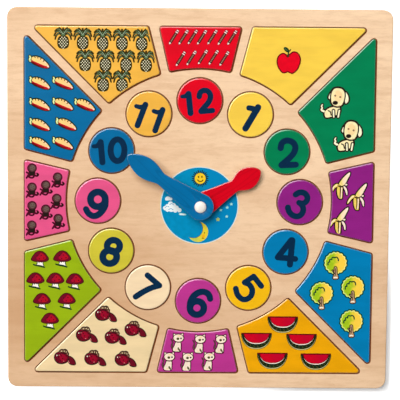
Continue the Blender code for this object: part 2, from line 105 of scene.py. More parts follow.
@dataclass(frozen=True)
class Tint:
    """A colour as it looks on a screen, in steps from 0 to 255."""

    red: float
    green: float
    blue: float

    def rgba(self, gain: float = 1.0) -> tuple[float, float, float, float]:
        """Return the colour for a shader's socket.

        Args:
            gain: Multiplies the light that the colour sends back.

        Returns:
            Scene-linear red, green and blue, and an alpha of one.
        """
        # The sRGB curve, with its own numbers
        parts = []
        for step in (self.red, self.green, self.blue):
            level = step / 255
            linear = level / 12.92 if level <= 0.04045 else ((level + 0.055) / 1.055) ** 2.4
            parts.append(min(1.0, linear * gain))
        return (parts[0], parts[1], parts[2], 1.0)


class Graph:
    """Builds the nodes of one material or world, a node at a time."""

    coat_roughness: ClassVar[float] = 0.16
    coat_ior: ClassVar[float] = 1.7

    def __init__(self, owner: Material | bpy.types.World, shader: str, output: str) -> None:
        """Clear the nodes of a material or world, and give it a shader and an output.

        Args:
            owner: The material or world.
            shader: Blender's name for the shader's node type.
            output: Blender's name for the output's node type.
        """
        self.owner = owner
        owner.use_nodes = True
        self.tree = owner.node_tree
        self.tree.nodes.clear()
        self.shader = self.add(shader)
        self.output = self.add(output)
        self.feed(self.output.inputs["Surface"], self.shader.outputs[0])
        self.place = self.add("ShaderNodeTexCoord")

    @classmethod
    def of_material(cls, name: str) -> "Graph":
        """Start a new material of that name."""
        return cls(bpy.data.materials.new(name), "ShaderNodeBsdfPrincipled", "ShaderNodeOutputMaterial")

    @classmethod
    def of_world(cls, world: bpy.types.World) -> "Graph":
        """Start a world's nodes."""
        return cls(world, "ShaderNodeBackground", "ShaderNodeOutputWorld")

    def add(self, kind: str, inputs: dict | None = None, **settings: object) -> bpy.types.Node:
        """Add a node.

        Args:
            kind: Blender's name for the node type.
            inputs: Values or sockets for its inputs, by name or number.
            **settings: The node's own settings.

        Returns:
            The new node.
        """
        node = self.tree.nodes.new(kind)
        for name, value in settings.items():
            setattr(node, name, value)
        for name, value in (inputs or {}).items():
            self.feed(node.inputs[name], value)
        return node

    def feed(self, socket: Socket, value: object) -> None:
        """Link a socket to another one, or set its value.

        Args:
            socket: The input.
            value: A socket to link, or the value that the input keeps.
        """
        if isinstance(value, Socket):
            self.tree.links.new(value, socket)
        else:
            socket.default_value = value

    def stretched(
        self, sizes: Sequence[float], shift: object = (0.0, 0.0, 0.0), turn: float = 0.0
    ) -> Socket:
        """Divide the piece's own coordinates by a pattern's size along X, Y and Z.

        Args:
            sizes: The pattern's size in metres along each axis.
            shift: A value or socket that moves the pattern.
            turn: The pattern's anticlockwise turn in degrees.

        Returns:
            The socket of the coordinates.
        """
        scale = [1 / size for size in sizes]
        spin = (0.0, 0.0, -math.radians(turn))
        turned = self.add("ShaderNodeMapping", {"Vector": self.place.outputs["Object"], "Rotation": spin})
        mapped = self.add(
            "ShaderNodeMapping", {"Vector": turned.outputs[0], "Location": shift, "Scale": scale}
        )
        return mapped.outputs[0]

    def noise(self, vector: Socket, detail: float = 2.0, rough: float = 0.5) -> Socket:
        """Return smooth noise about a half, with features one unit wide."""
        node = self.add(
            "ShaderNodeTexNoise", {"Vector": vector, "Scale": 1.0, "Detail": detail, "Roughness": rough}
        )
        return node.outputs["Fac"]

    def between(
        self, value: object, low: float, high: float, start: float = 0.0, end: float = 1.0
    ) -> Socket:
        """Find a value's place between two others, eased, as a share.

        Args:
            value: A number or socket.
            low: The value that gives start.
            high: The value that gives end.
            start: The share at low.
            end: The share at high.

        Returns:
            The socket of the share.
        """
        node = self.add(
            "ShaderNodeMapRange",
            {"Value": value, "From Min": low, "From Max": high, "To Min": start, "To Max": end},
            interpolation_type="SMOOTHSTEP",
        )
        return node.outputs["Result"]

    def sums(self, operation: str, first: object, second: object) -> Socket:
        """Return the outcome of a Math node."""
        return self.add("ShaderNodeMath", {0: first, 1: second}, operation=operation).outputs[0]

    def mixed(self, share: object, first: object, second: object) -> Socket:
        """Return first with a share of second mixed into it."""
        # Inputs 6 and 7 and output 2 are the Mix node's sockets for colours
        return self.add("ShaderNodeMix", {0: share, 6: first, 7: second}, data_type="RGBA").outputs[2]

    def axis(self, vector: Socket, name: str) -> Socket:
        """Return one part of a vector: X, Y or Z."""
        return self.add("ShaderNodeSeparateXYZ", {0: vector}).outputs[name]

    def bump(self, height: Socket, depth: float, strength: float) -> None:
        """Give the shader a bump of that depth in metres."""
        node = self.add("ShaderNodeBump", {"Height": height, "Distance": depth, "Strength": strength})
        self.feed(self.shader.inputs["Normal"], node.outputs[0])

    def finish(self, colour: object, roughness: object, specular: float, coat: float = 0.0) -> Material:
        """Set the shader's main sockets.

        Args:
            colour: The base colour, or the socket that gives it.
            roughness: The roughness, or the socket that gives it.
            specular: The specular level.
            coat: The coat's weight.

        Returns:
            The finished material.
        """
        self.feed(self.shader.inputs["Base Color"], colour)
        self.feed(self.shader.inputs["Roughness"], roughness)
        self.shader.inputs["Specular IOR Level"].default_value = specular
        self.shader.inputs["Coat Weight"].default_value = coat
        self.shader.inputs["Coat Roughness"].default_value = self.coat_roughness
        self.shader.inputs["Coat IOR"].default_value = self.coat_ior
        return self.owner


# Finishes


@dataclass(frozen=True)
class Plies:
    """Glued veneers seen on a cut edge, from the underside up."""

    thickness: float
    count: int
    pale: Tint = Tint(232, 202, 162)
    dark: Tint = Tint(186, 142, 98)
    scorch: Tint = Tint(108, 66, 34)
    wander_size: Triple = (0.03, 0.03, 0.004)
    wander_share: float = 0.04
    fibre_size: Triple = (0.0006, 0.0006, 0.003)
    glue_band: Point = (0.35, 0.65)

    def colour(self, graph: Graph, scorched: object) -> Socket:
        """Return the edge's colour.

        Args:
            graph: The material that is being built.
            scorched: How far the saw or laser has browned the edge, from 0 to 1.

        Returns:
            The socket of the banded colour.
        """
        height = graph.axis(graph.place.outputs["Object"], "Z")
        wander = graph.noise(graph.stretched(self.wander_size))
        level = graph.sums("DIVIDE", height, self.thickness)
        level = graph.sums("ADD", level, graph.sums("MULTIPLY", wander, self.wander_share))
        band = graph.sums("PINGPONG", graph.sums("MULTIPLY", level, float(self.count)), 1.0)
        fibres = graph.noise(graph.stretched(self.fibre_size), detail=3.0)
        banded = graph.between(band, *self.glue_band)
        share = graph.sums("MULTIPLY", banded, graph.between(fibres, 0.2, 0.75, 0.5, 1.0))
        wood = graph.mixed(share, self.pale.rgba(), self.dark.rgba())
        return graph.mixed(scorched, wood, self.scorch.rgba())


@dataclass(frozen=True)
class BirchFinish:
    """Pale birch plywood, sanded and left bare, with its plies on the cut edges."""

    name: str
    plies: Plies
    half_side: float
    pale: Tint = Tint(251, 217, 179)
    warm: Tint = Tint(203, 157, 115)
    streak: Tint = Tint(196, 146, 102)
    pale_spot: Triple = (0.035, -0.035, 0.0)
    veneer_size: Triple = (0.16, 0.035, 0.035)
    ring_size: Triple = (0.05, 0.0045, 0.0045)
    grain_size: Triple = (0.010, 0.00045, 0.00045)
    mottle_size: Triple = (0.014, 0.0042, 0.0042)
    pore_size: Triple = (0.0022, 0.00022, 0.00022)
    across_share: float = 0.25
    along_share: float = 0.50
    veneer_share: float = 0.28
    low_edge_share: float = 0.24
    spot_share: float = 0.07
    ring_share: float = 0.20
    grain_share: float = 0.13
    mottle_share: float = 0.24
    pore_share: float = 0.30
    scorch_band: Point = (0.002, 0.001)
    bump_depth: float = 0.00006

    def material(self) -> Material:
        """Build the board's wood.

        Returns:
            Its material.
        """
        graph = Graph.of_material(self.name)
        spot = graph.place.outputs["Object"]
        # Painted light: the face is paler towards the top and the right
        face = graph.mixed(self._tone(graph), self.warm.rgba(), self.pale.rgba())
        streak = self.streak.rgba()
        rings = graph.noise(graph.stretched(self.ring_size), detail=4.0, rough=0.6)
        face = graph.mixed(graph.between(rings, 0.48, 0.70, 0.0, self.ring_share), face, streak)
        grain = graph.noise(graph.stretched(self.grain_size), detail=3.0, rough=0.7)
        face = graph.mixed(graph.between(grain, 0.52, 0.74, 0.0, self.grain_share), face, streak)
        mottle = graph.noise(graph.stretched(self.mottle_size), detail=3.0, rough=0.62)
        face = graph.mixed(graph.between(mottle, 0.42, 0.72, 0.0, self.mottle_share), face, streak)
        pores = graph.noise(graph.stretched(self.pore_size), detail=1.0)
        pitted = graph.between(pores, 0.66, 0.76)
        deep = graph.sums("MULTIPLY", pitted, self.pore_share)
        face = graph.mixed(deep, face, self.streak.rgba(0.7))
        reach = graph.add("ShaderNodeVectorMath", {0: spot}, operation="ABSOLUTE").outputs[0]
        far = graph.sums("MAXIMUM", graph.axis(reach, "X"), graph.axis(reach, "Y"))
        inner, outer = self.scorch_band
        scorched = graph.between(far, self.half_side - inner, self.half_side - outer, 0.62, 0.10)
        rise = graph.axis(graph.place.outputs["Normal"], "Z")
        upright = graph.add("ShaderNodeMath", {0: rise}, operation="ABSOLUTE")
        flat = graph.between(upright.outputs[0], 0.35, 0.75)
        colour = graph.mixed(flat, self.plies.colour(graph, scorched), face)
        graph.bump(graph.sums("SUBTRACT", grain, pitted), self.bump_depth, 0.5)
        return graph.finish(colour, graph.between(grain, 0.3, 0.7, 0.52, 0.66), 0.22)

    def _tone(self, graph: Graph) -> Socket:
        """Find how pale the board's face is from place to place: a painted light gradient, paler towards the
        top and the right with the strip along the bottom edge lifted paler again, plus random veneer tone and
        a paler patch right of and below the middle.

        Args:
            graph: The material that is being built.

        Returns:
            The socket of the share of pale wood.
        """
        half = self.half_side
        spot = graph.place.outputs["Object"]
        veneer = graph.noise(graph.stretched(self.veneer_size), detail=3.0)
        across = graph.between(graph.axis(spot, "X"), -half, half)
        along = graph.between(graph.axis(spot, "Y"), -half, half)
        tone = graph.sums("MULTIPLY", across, self.across_share)
        tone = graph.sums("ADD", tone, graph.sums("MULTIPLY", along, self.along_share))
        tone = graph.sums("ADD", tone, graph.between(veneer, 0.3, 0.7, 0.0, self.veneer_share))
        # Painted light: the strip along the bottom edge is lifted paler again
        painted_low_edge_light = graph.between(graph.axis(spot, "Y"), -0.7 * half, -0.96 * half, 0.0, self.low_edge_share)
        tone = graph.sums("ADD", tone, painted_low_edge_light)
        span = graph.add("ShaderNodeVectorMath", {0: spot, 1: self.pale_spot}, operation="DISTANCE")
        middle = graph.between(span.outputs["Value"], 0.8 * half, 0.3 * half, 0.0, self.spot_share)
        return graph.sums("ADD", tone, middle)


@dataclass(frozen=True)
class PaintFinish:
    """Satin paint on a piece's top over bare plywood sides; its rounded rim is paler, partly wear to the wood
    and partly a painted highlight.
    """

    name: str
    tint: Tint
    plies: Plies
    grain_turn: float = 0.0
    grain_share: float = 0.35
    vein_share: float = 0.0
    gloss: float = 1.0
    rim: Tint = Tint(246, 228, 204)
    shift_reach: float = 37.0
    cloud_size: Triple = (0.030, 0.010, 0.010)
    grain_size: Triple = (0.011, 0.00055, 0.00055)
    hill_size: Triple = (0.10, 0.013, 0.013)
    vein_count: float = 9.0
    chip_size: Triple = (0.0011, 0.0011, 0.0011)
    peel_size: Triple = (0.0007, 0.0007, 0.0007)
    bump_depth: float = 0.00003
    scorched: float = 0.55

    def material(self) -> Material:
        """Build the painted wood.

        Returns:
            Its material.
        """
        graph = Graph.of_material(self.name)
        turn = self.grain_turn
        luck = graph.add("ShaderNodeObjectInfo").outputs["Random"]
        apart = graph.sums("MULTIPLY", luck, self.shift_reach)
        shift = graph.add("ShaderNodeCombineXYZ", {0: apart, 1: luck, 2: luck}).outputs[0]
        cloud = graph.noise(graph.stretched(self.cloud_size, shift, turn), detail=2.0)
        grain = graph.noise(graph.stretched(self.grain_size, shift, turn), detail=3.0, rough=0.65)
        paint = graph.mixed(graph.between(cloud, 0.3, 0.7), self.tint.rgba(0.94), self.tint.rgba(1.05))
        fibres = graph.between(grain, 0.5, 0.8, 0.0, self.grain_share)
        paint = graph.mixed(fibres, paint, self.tint.rgba(0.78))
        hills = graph.noise(graph.stretched(self.hill_size, shift, turn), detail=0.6)
        rise = graph.sums("PINGPONG", graph.sums("MULTIPLY", hills, self.vein_count), 0.5)
        veins = graph.between(rise, 0.15, 0.0, 0.0, self.vein_share)
        paint = graph.mixed(veins, paint, self.tint.rgba(0.42))
        chips = graph.noise(graph.stretched(self.chip_size, shift), detail=3.0, rough=0.6)
        upright = graph.axis(graph.place.outputs["Normal"], "Z")
        edge = graph.sums("ADD", upright, graph.between(chips, 0.25, 0.75, -0.12, 0.12))
        covered = graph.between(edge, 0.30, 0.50)
        # Paler rim: partly paint worn thin to the wood, partly a painted highlight in a tint lighter than the
        # bare wood
        rounded = graph.between(upright, 0.94, 0.78)
        wear_and_highlight = graph.sums("MULTIPLY", rounded, graph.between(chips, 0.50, 0.68, 0.0, 0.55))
        paint = graph.mixed(wear_and_highlight, paint, self.rim.rgba())
        colour = graph.mixed(covered, self.plies.colour(graph, self.scorched), paint)
        peel = graph.noise(graph.stretched(self.peel_size, shift), detail=2.0)
        height = graph.sums("MULTIPLY", grain, 0.6)
        height = graph.sums("ADD", height, graph.sums("MULTIPLY", peel, 0.4))
        graph.bump(height, self.bump_depth, 0.45)
        rough = graph.between(peel, 0.2, 0.8, 0.60, 0.68)
        rough = graph.sums("SUBTRACT", rough, graph.sums("MULTIPLY", covered, 0.28))
        return graph.finish(colour, rough, 0.02, self.gloss)


@dataclass(frozen=True)
class InkFinish:
    """Screen-printed ink, a little uneven, with a second colour towards one side if it has one."""

    name: str
    tint: Tint
    towards: Tint | None = None
    reach: float = 0.009
    cloud_size: Triple = (0.004, 0.004, 0.004)
    speck_size: Triple = (0.0004, 0.0004, 0.0004)
    bump_depth: float = 0.00001

    def material(self) -> Material:
        """Build the ink.

        Returns:
            Its material.
        """
        graph = Graph.of_material(self.name)
        cloud = graph.noise(graph.stretched(self.cloud_size), detail=3.0)
        speck = graph.noise(graph.stretched(self.speck_size), detail=2.0)
        colour = graph.mixed(graph.between(cloud, 0.3, 0.7), self.tint.rgba(0.93), self.tint.rgba(1.06))
        if self.towards is not None:
            across = graph.axis(graph.place.outputs["Object"], "X")
            wander = graph.sums("MULTIPLY", graph.sums("SUBTRACT", cloud, 0.5), self.reach)
            uneven = graph.sums("ADD", across, wander)
            share = graph.between(uneven, -0.3 * self.reach, 0.4 * self.reach)
            colour = graph.mixed(share, colour, self.towards.rgba())
        colour = graph.mixed(graph.between(speck, 0.55, 0.8, 0.0, 0.25), colour, self.tint.rgba(0.8))
        graph.bump(speck, self.bump_depth, 0.4)
        return graph.finish(colour, graph.between(speck, 0.2, 0.8, 0.34, 0.46), 0.06)


@dataclass(frozen=True)
class PlasticFinish:
    """Moulded white plastic with faint turning marks and scuffs."""

    name: str
    tint: Tint
    cloud_size: Triple = (0.0030, 0.0030, 0.0030)
    scuff_size: Triple = (0.0016, 0.0001, 0.0004)
    bump_depth: float = 0.00002

    def material(self) -> Material:
        """Build the plastic.

        Returns:
            Its material.
        """
        graph = Graph.of_material(self.name)
        cloud = graph.noise(graph.stretched(self.cloud_size), detail=2.0)
        scuff = graph.noise(graph.stretched(self.scuff_size), detail=2.0)
        colour = graph.mixed(graph.between(cloud, 0.3, 0.7), self.tint.rgba(0.95), self.tint.rgba(1.03))
        colour = graph.mixed(graph.between(scuff, 0.62, 0.75, 0.0, 0.3), colour, self.tint.rgba(0.8))
        graph.bump(graph.sums("ADD", cloud, graph.sums("MULTIPLY", scuff, 0.3)), self.bump_depth, 0.4)
        return graph.finish(colour, graph.between(scuff, 0.3, 0.8, 0.22, 0.38), 0.5, 0.3)


class Ink(Enum):
    """The inks of the prints, each with its tint and, where it shades over, the second tint."""

    NAVY = (Tint(6, 41, 70), None)
    DARK = (Tint(34, 22, 18), None)
    MAROON = (Tint(104, 6, 14), None)
    RED = (Tint(226, 2, 32), None)
    CRIMSON = (Tint(200, 4, 34), Tint(190, 4, 40))
    JAM = (Tint(158, 10, 42), Tint(146, 8, 38))
    BERRY = (Tint(112, 10, 34), Tint(104, 12, 30))
    HUSK = (Tint(132, 98, 74), None)
    HIGHLIGHT = (Tint(254, 246, 232), None)
    BLUSHED = (Tint(254, 226, 206), None)
    PEACH = (Tint(254, 216, 156), None)
    LIME_RIM = (Tint(222, 234, 130), Tint(246, 232, 130))
    MOSS = (Tint(74, 66, 22), None)
    CREAM = (Tint(250, 232, 176), None)
    MILK = (Tint(254, 240, 222), None)
    RIND = (Tint(22, 40, 18), None)
    PALE_RIND = (Tint(196, 190, 130), None)
    LEAF = (Tint(26, 58, 30), None)
    SAGE = (Tint(88, 118, 80), None)
    DEW = (Tint(172, 190, 164), None)
    FOREST = (Tint(6, 66, 42), None)
    CROWN = (Tint(164, 196, 30), Tint(252, 206, 70))
    BARK = (Tint(196, 156, 116), None)
    OLIVE = (Tint(50, 42, 14), None)
    STRAW = (Tint(254, 246, 206), None)
    PEEL = (Tint(238, 206, 96), Tint(232, 176, 96))
    FLESH = (Tint(242, 216, 116), Tint(252, 224, 196))
    CARROT = (Tint(252, 206, 124), Tint(252, 202, 138))
    ROOT = (Tint(186, 10, 30), None)
    SHOOT = (Tint(220, 232, 160), None)
    CAP = (Tint(168, 10, 46), Tint(178, 12, 30))
    SLATE = (Tint(106, 88, 78), None)
    UMBER = (Tint(84, 46, 50), None)
    FUR = (Tint(246, 226, 202), None)
    GLEAM = (Tint(216, 120, 120), None)
    NOSE = (Tint(96, 88, 44), None)
    PLUM = (Tint(72, 8, 30), None)
    PENCIL = (Tint(110, 70, 58), None)
    SHINE = (Tint(172, 140, 116), None)
    RUBBER = (Tint(252, 214, 208), None)
    GRAPHITE = (Tint(64, 10, 14), None)
    SKY = (Tint(0, 136, 182), Tint(0, 130, 182))
    HALO = (Tint(208, 228, 222), None)
    SUN = (Tint(240, 198, 42), None)
    RAY = (Tint(22, 46, 30), None)
    SMILE = (Tint(98, 72, 8), None)
    CLOUD = (Tint(234, 242, 242), Tint(222, 228, 226))
    MOON = (Tint(196, 202, 84), Tint(224, 202, 52))
    GLOW = (Tint(234, 172, 26), None)
    STAR = (Tint(160, 216, 206), None)
    GOLD_STAR = (Tint(168, 184, 92), None)

    def material(self) -> Material:
        """Return the ink's material, made once."""
        name = f"ink_{self.name.lower()}"
        return bpy.data.materials.get(name) or InkFinish(name, *self.value).material()


class Paint(Enum):
    """The paints of the discs, picture pieces and hands; each value is the record's slot and the tint."""

    RED = ("red_paint", Tint(228, 0, 30))
    YELLOW = ("yellow_paint", Tint(252, 208, 76))
    GREEN = ("green_paint", Tint(0, 129, 80))
    PURPLE = ("purple_paint", Tint(145, 33, 129))
    BLUE = ("blue_paint", Tint(0, 126, 180))
    ORANGE = ("orange_paint", Tint(241, 168, 6))
    MAGENTA = ("magenta_paint", Tint(190, 55, 142))
    CREAM = ("cream_paint", Tint(242, 214, 164))
    LIME = ("lime_paint", Tint(153, 180, 18))
    PINK = ("pink_paint", Tint(230, 85, 135))
    AMBER = ("amber_paint", Tint(244, 182, 70))
    DEEP_BLUE = ("blue_paint", Tint(0, 105, 156))
    GOLD = ("orange_paint", Tint(252, 192, 20))
    CITRON = ("lime_paint", Tint(209, 195, 57))
    IVORY = ("cream_paint", Tint(252, 222, 180))
    HAND_RED = ("hand_red", Tint(214, 0, 26))
    HAND_BLUE = ("hand_blue", Tint(0, 106, 160))

    def material(self, plies: Plies, grain_turn: float = 0.0, vein_share: float = 0.0) -> Material:
        """Return the paint's material, made once.

        Args:
            plies: The veneers under the paint.
            grain_turn: The direction of the wood's grain in degrees.
            vein_share: How far the wood's veins show through.

        Returns:
            The material.
        """
        name = f"satin_{self.name.lower()}"
        made = bpy.data.materials.get(name)
        return made or PaintFinish(name, self.value[1], plies, grain_turn, vein_share=vein_share).material()


DISC_PAINTS = (
    Paint.YELLOW, Paint.GREEN, Paint.PURPLE, Paint.BLUE, Paint.GOLD, Paint.MAGENTA,
    Paint.IVORY, Paint.CITRON, Paint.PINK, Paint.DEEP_BLUE, Paint.AMBER, Paint.RED,
)
PIECE_PAINTS = (
    Paint.YELLOW, Paint.GREEN, Paint.PURPLE, Paint.BLUE, Paint.ORANGE, Paint.MAGENTA,
    Paint.CREAM, Paint.LIME, Paint.PINK, Paint.DEEP_BLUE, Paint.AMBER, Paint.RED,
)


# Outlines, in millimetres


def points_of(shape: Iterable[Point]) -> Loop:
    """Return a table of places as vectors."""
    return [Vector(place) for place in shape]


def ellipse(
    x: float, y: float, wide: float, high: float | None = None, turn: float = 0.0, count: int = 28
) -> Loop:
    """Return an ellipse about a place.

    Args:
        x: Its middle across.
        y: Its middle along.
        wide: Half its width.
        high: Half its height, or None for a circle.
        turn: Its anticlockwise turn in degrees.
        count: How many points it has.

    Returns:
        The loop, anticlockwise.
    """
    tall = wide if high is None else high
    spin = Matrix.Rotation(math.radians(turn), 2)
    middle = Vector((x, y))
    loop = []
    for step in range(count):
        angle = math.tau * step / count
        loop.append(middle + spin @ Vector((wide * math.cos(angle), tall * math.sin(angle))))
    return loop


def smooth(shape: Iterable[Point], closed: bool = True, steps: int = 5) -> Loop:
    """Return a curve through a table of places.

    Args:
        shape: The places it passes.
        closed: Whether it comes back to its start.
        steps: How many points it has for each place.

    Returns:
        The points of a Catmull-Rom curve.
    """
    knots = points_of(shape)
    count = len(knots)
    spans = count if closed else count - 1
    curve = []
    for index in range(spans):
        second, third = knots[index], knots[(index + 1) % count]
        first = knots[index - 1] if closed or index else second * 2 - third
        last = knots[(index + 2) % count] if closed or index + 2 < count else third * 2 - second
        for step in range(steps):
            t = step / steps
            bend = (third - first) * t + (first * 2 - second * 5 + third * 4 - last) * t ** 2
            bend += (second * 3 - first - third * 3 + last) * t ** 3
            curve.append(second + bend / 2)
    if not closed:
        curve.append(knots[-1])
    return curve


def ribbon(path: Loop, half: float, end_half: float | None = None, closed: bool = False) -> list[Loop]:
    """Return a line with thickness and round ends, as loops that overlap.

    Args:
        path: The points along its middle.
        half: Half its width at its start.
        end_half: Half its width at its end, or None for the same.
        closed: Whether it comes back to its start.

    Returns:
        Four-sided loops along the line, and a circle at each end.
    """
    last = half if end_half is None else end_half
    count = len(path)
    left, right = [], []
    for index, place in enumerate(path):
        before = path[index - 1] if closed or index else place
        after = path[(index + 1) % count] if closed or index + 1 < count else place
        heading = (after - before).normalized()
        side = Vector((-heading.y, heading.x)) * (half + (last - half) * index / max(1, count - 1))
        left.append(place + side)
        right.append(place - side)
    spans = count if closed else count - 1
    loops = []
    for index in range(spans):
        ahead = (index + 1) % count
        loops.append([right[index], right[ahead], left[ahead], left[index]])
    if not closed:
        loops.append(ellipse(*path[0], half, count=END_STEPS))
        loops.append(ellipse(*path[-1], last, count=END_STEPS))
    return loops


def stroke(shape: Iterable[Point], half: float, end_half: float | None = None) -> list[Loop]:
    """Return a brush stroke on a smooth path through a table of places."""
    return ribbon(smooth(shape, closed=False), half, end_half)


def strokes(shapes: Iterable[Shape], half: float, end_half: float | None = None) -> list[Loop]:
    """Return a brush stroke through each table of places."""
    return [loop for shape in shapes for loop in stroke(shape, half, end_half)]


def outlined(loops: Iterable[Loop], half: float) -> list[Loop]:
    """Return a closed line with thickness along each loop."""
    return [part for loop in loops for part in ribbon(loop, half, closed=True)]


def anticlockwise(loop: Loop) -> Loop:
    """Return a loop so that it runs anticlockwise."""
    area = sum(loop[index - 1].cross(place) for index, place in enumerate(loop))
    return loop if area >= 0 else loop[::-1]


def inset(loop: Loop, depth: float) -> Loop:
    """Move a loop inwards, corner by corner.

    Args:
        loop: The loop.
        depth: How far in, or out where it is below zero.

    Returns:
        The new loop, anticlockwise.
    """
    result = []
    loop = anticlockwise(loop)
    count = len(loop)
    for index, place in enumerate(loop):
        into = (place - loop[index - 1]).normalized()
        out = (loop[(index + 1) % count] - place).normalized()
        inward = Vector((-into.y - out.y, into.x + out.x)).normalized()
        spread = max(LEAST_SPREAD, inward.dot(Vector((-out.y, out.x))))
        result.append(place + inward * (depth / spread))
    return result


class Area:
    """The inside of a loop."""

    def __init__(self, loop: Loop) -> None:
        """Keep the loop and the box round it.

        Args:
            loop: The loop.
        """
        self.loop = loop
        self.low = Vector((min(place.x for place in loop), min(place.y for place in loop)))
        self.high = Vector((max(place.x for place in loop), max(place.y for place in loop)))

    def holds(self, place: Vector) -> bool:
        """Tell whether a place lies inside.

        Args:
            place: The place.

        Returns:
            True where it does.
        """
        if not (self.low.x < place.x < self.high.x and self.low.y < place.y < self.high.y):
            return False
        inside = False
        for index, corner in enumerate(self.loop):
            other = self.loop[index - 1]
            if (corner.y > place.y) != (other.y > place.y):
                crossing = corner.x + (place.y - corner.y) * (other.x - corner.x) / (other.y - corner.y)
                if place.x < crossing:
                    inside = not inside
        return inside


# Meshes


@dataclass
class Film:
    """One layer of ink: the area of its loops, less its cuts."""

    ink: Ink
    loops: list[Loop]
    cuts: list[Loop] = field(default_factory=list)

    def triangles(self, within: Loop | None = None) -> tuple[Loop, list[list[int]]]:
        """Cut the layer's area into triangles.

        Args:
            within: A loop that the ink stays inside, or None.

        Returns:
            The points, and three point numbers for each triangle.
        """
        every = [*self.loops, *self.cuts] + ([within] if within else [])
        places: Loop = []
        faces: list[list[int]] = []
        for loop in every:
            faces.append(list(range(len(places), len(places) + len(loop))))
            places.extend(anticlockwise(loop))
        points, _, found, _, _, _ = delaunay_2d_cdt(places, [], faces, INSIDE, EXACTNESS)
        inked = [Area(loop) for loop in self.loops]
        cut = [Area(loop) for loop in self.cuts]
        frame_area = Area(within) if within else None
        kept = []
        for face in found:
            centre = sum((points[corner] for corner in face), Vector((0, 0))) / len(face)
            if frame_area and not frame_area.holds(centre) or any(area.holds(centre) for area in cut):
                continue
            if any(area.holds(centre) for area in inked):
                kept.append(list(face))
        return list(points), kept


@dataclass
class Sketch:
    """A print drawn in layers of ink, each a little higher than the one under it."""

    films: list[Film] = field(default_factory=list)
    foot: ClassVar[float] = 0.004
    first: ClassVar[float] = 0.030
    step: ClassVar[float] = 0.009

    def fill(self, ink: Ink, *loops: Loop, cuts: Iterable[Loop] = ()) -> None:
        """Add a layer that covers the loops, less the cuts."""
        self.films.append(Film(ink, list(loops), list(cuts)))

    def reach(self) -> Loop:
        """Return every point of every layer."""
        return [place for film in self.films for loop in film.loops for place in loop]

    def mesh(self, name: str, within: Loop | None = None) -> bpy.types.Mesh:
        """Build the print as thin closed layers that stand on z = 0.

        Args:
            name: The mesh's name.
            within: A loop that the ink stays inside, or None.

        Returns:
            The mesh, with one material slot for each ink.
        """
        work = bmesh.new()
        mesh = bpy.data.meshes.new(name)
        inks: list[Ink] = []
        for level, film in enumerate(self.films):
            if film.ink not in inks:
                inks.append(film.ink)
                mesh.materials.append(film.ink.material())
            points, faces = film.triangles(within)
            self._raise_layer(work, points, faces, self.first + self.step * level, inks.index(film.ink))
        work.to_mesh(mesh)
        work.free()
        return mesh

    def _raise_layer(
        self, work: bmesh.types.BMesh, points: Loop, faces: list[list[int]], top: float, slot: int
    ) -> None:
        """Add one closed layer between the foot and its top.

        Args:
            work: The mesh that is being built.
            points: The layer's points in millimetres.
            faces: Its triangles, as point numbers.
            top: Its top's height in millimetres.
            slot: The number of its material slot.
        """
        corners = {corner for face in faces for corner in face}
        low = {corner: work.verts.new((*(points[corner] * MM), self.foot * MM)) for corner in corners}
        high = {corner: work.verts.new((*(points[corner] * MM), top * MM)) for corner in corners}
        made = []
        for face in faces:
            made.append(work.faces.new([high[corner] for corner in face]))
            made.append(work.faces.new([low[corner] for corner in reversed(face)]))
        sides = dict.fromkeys(side for face in faces for side in zip(face, face[1:] + face[:1]))
        for start, end in sides:
            if (end, start) not in sides:
                made.append(work.faces.new([low[start], low[end], high[end], high[start]]))
        for face in made:
            face.material_index = slot


# How far in and how far down each ring of a sanded rim lies, as shares of the rim's width
RIM_SHARES = (
    (0.0, 0.56), (0.04, 0.42), (0.09, 0.34), (0.30, 0.24),
    (0.52, 0.14), (0.74, 0.06), (0.90, 0.010), (1.0, 0.0),
)


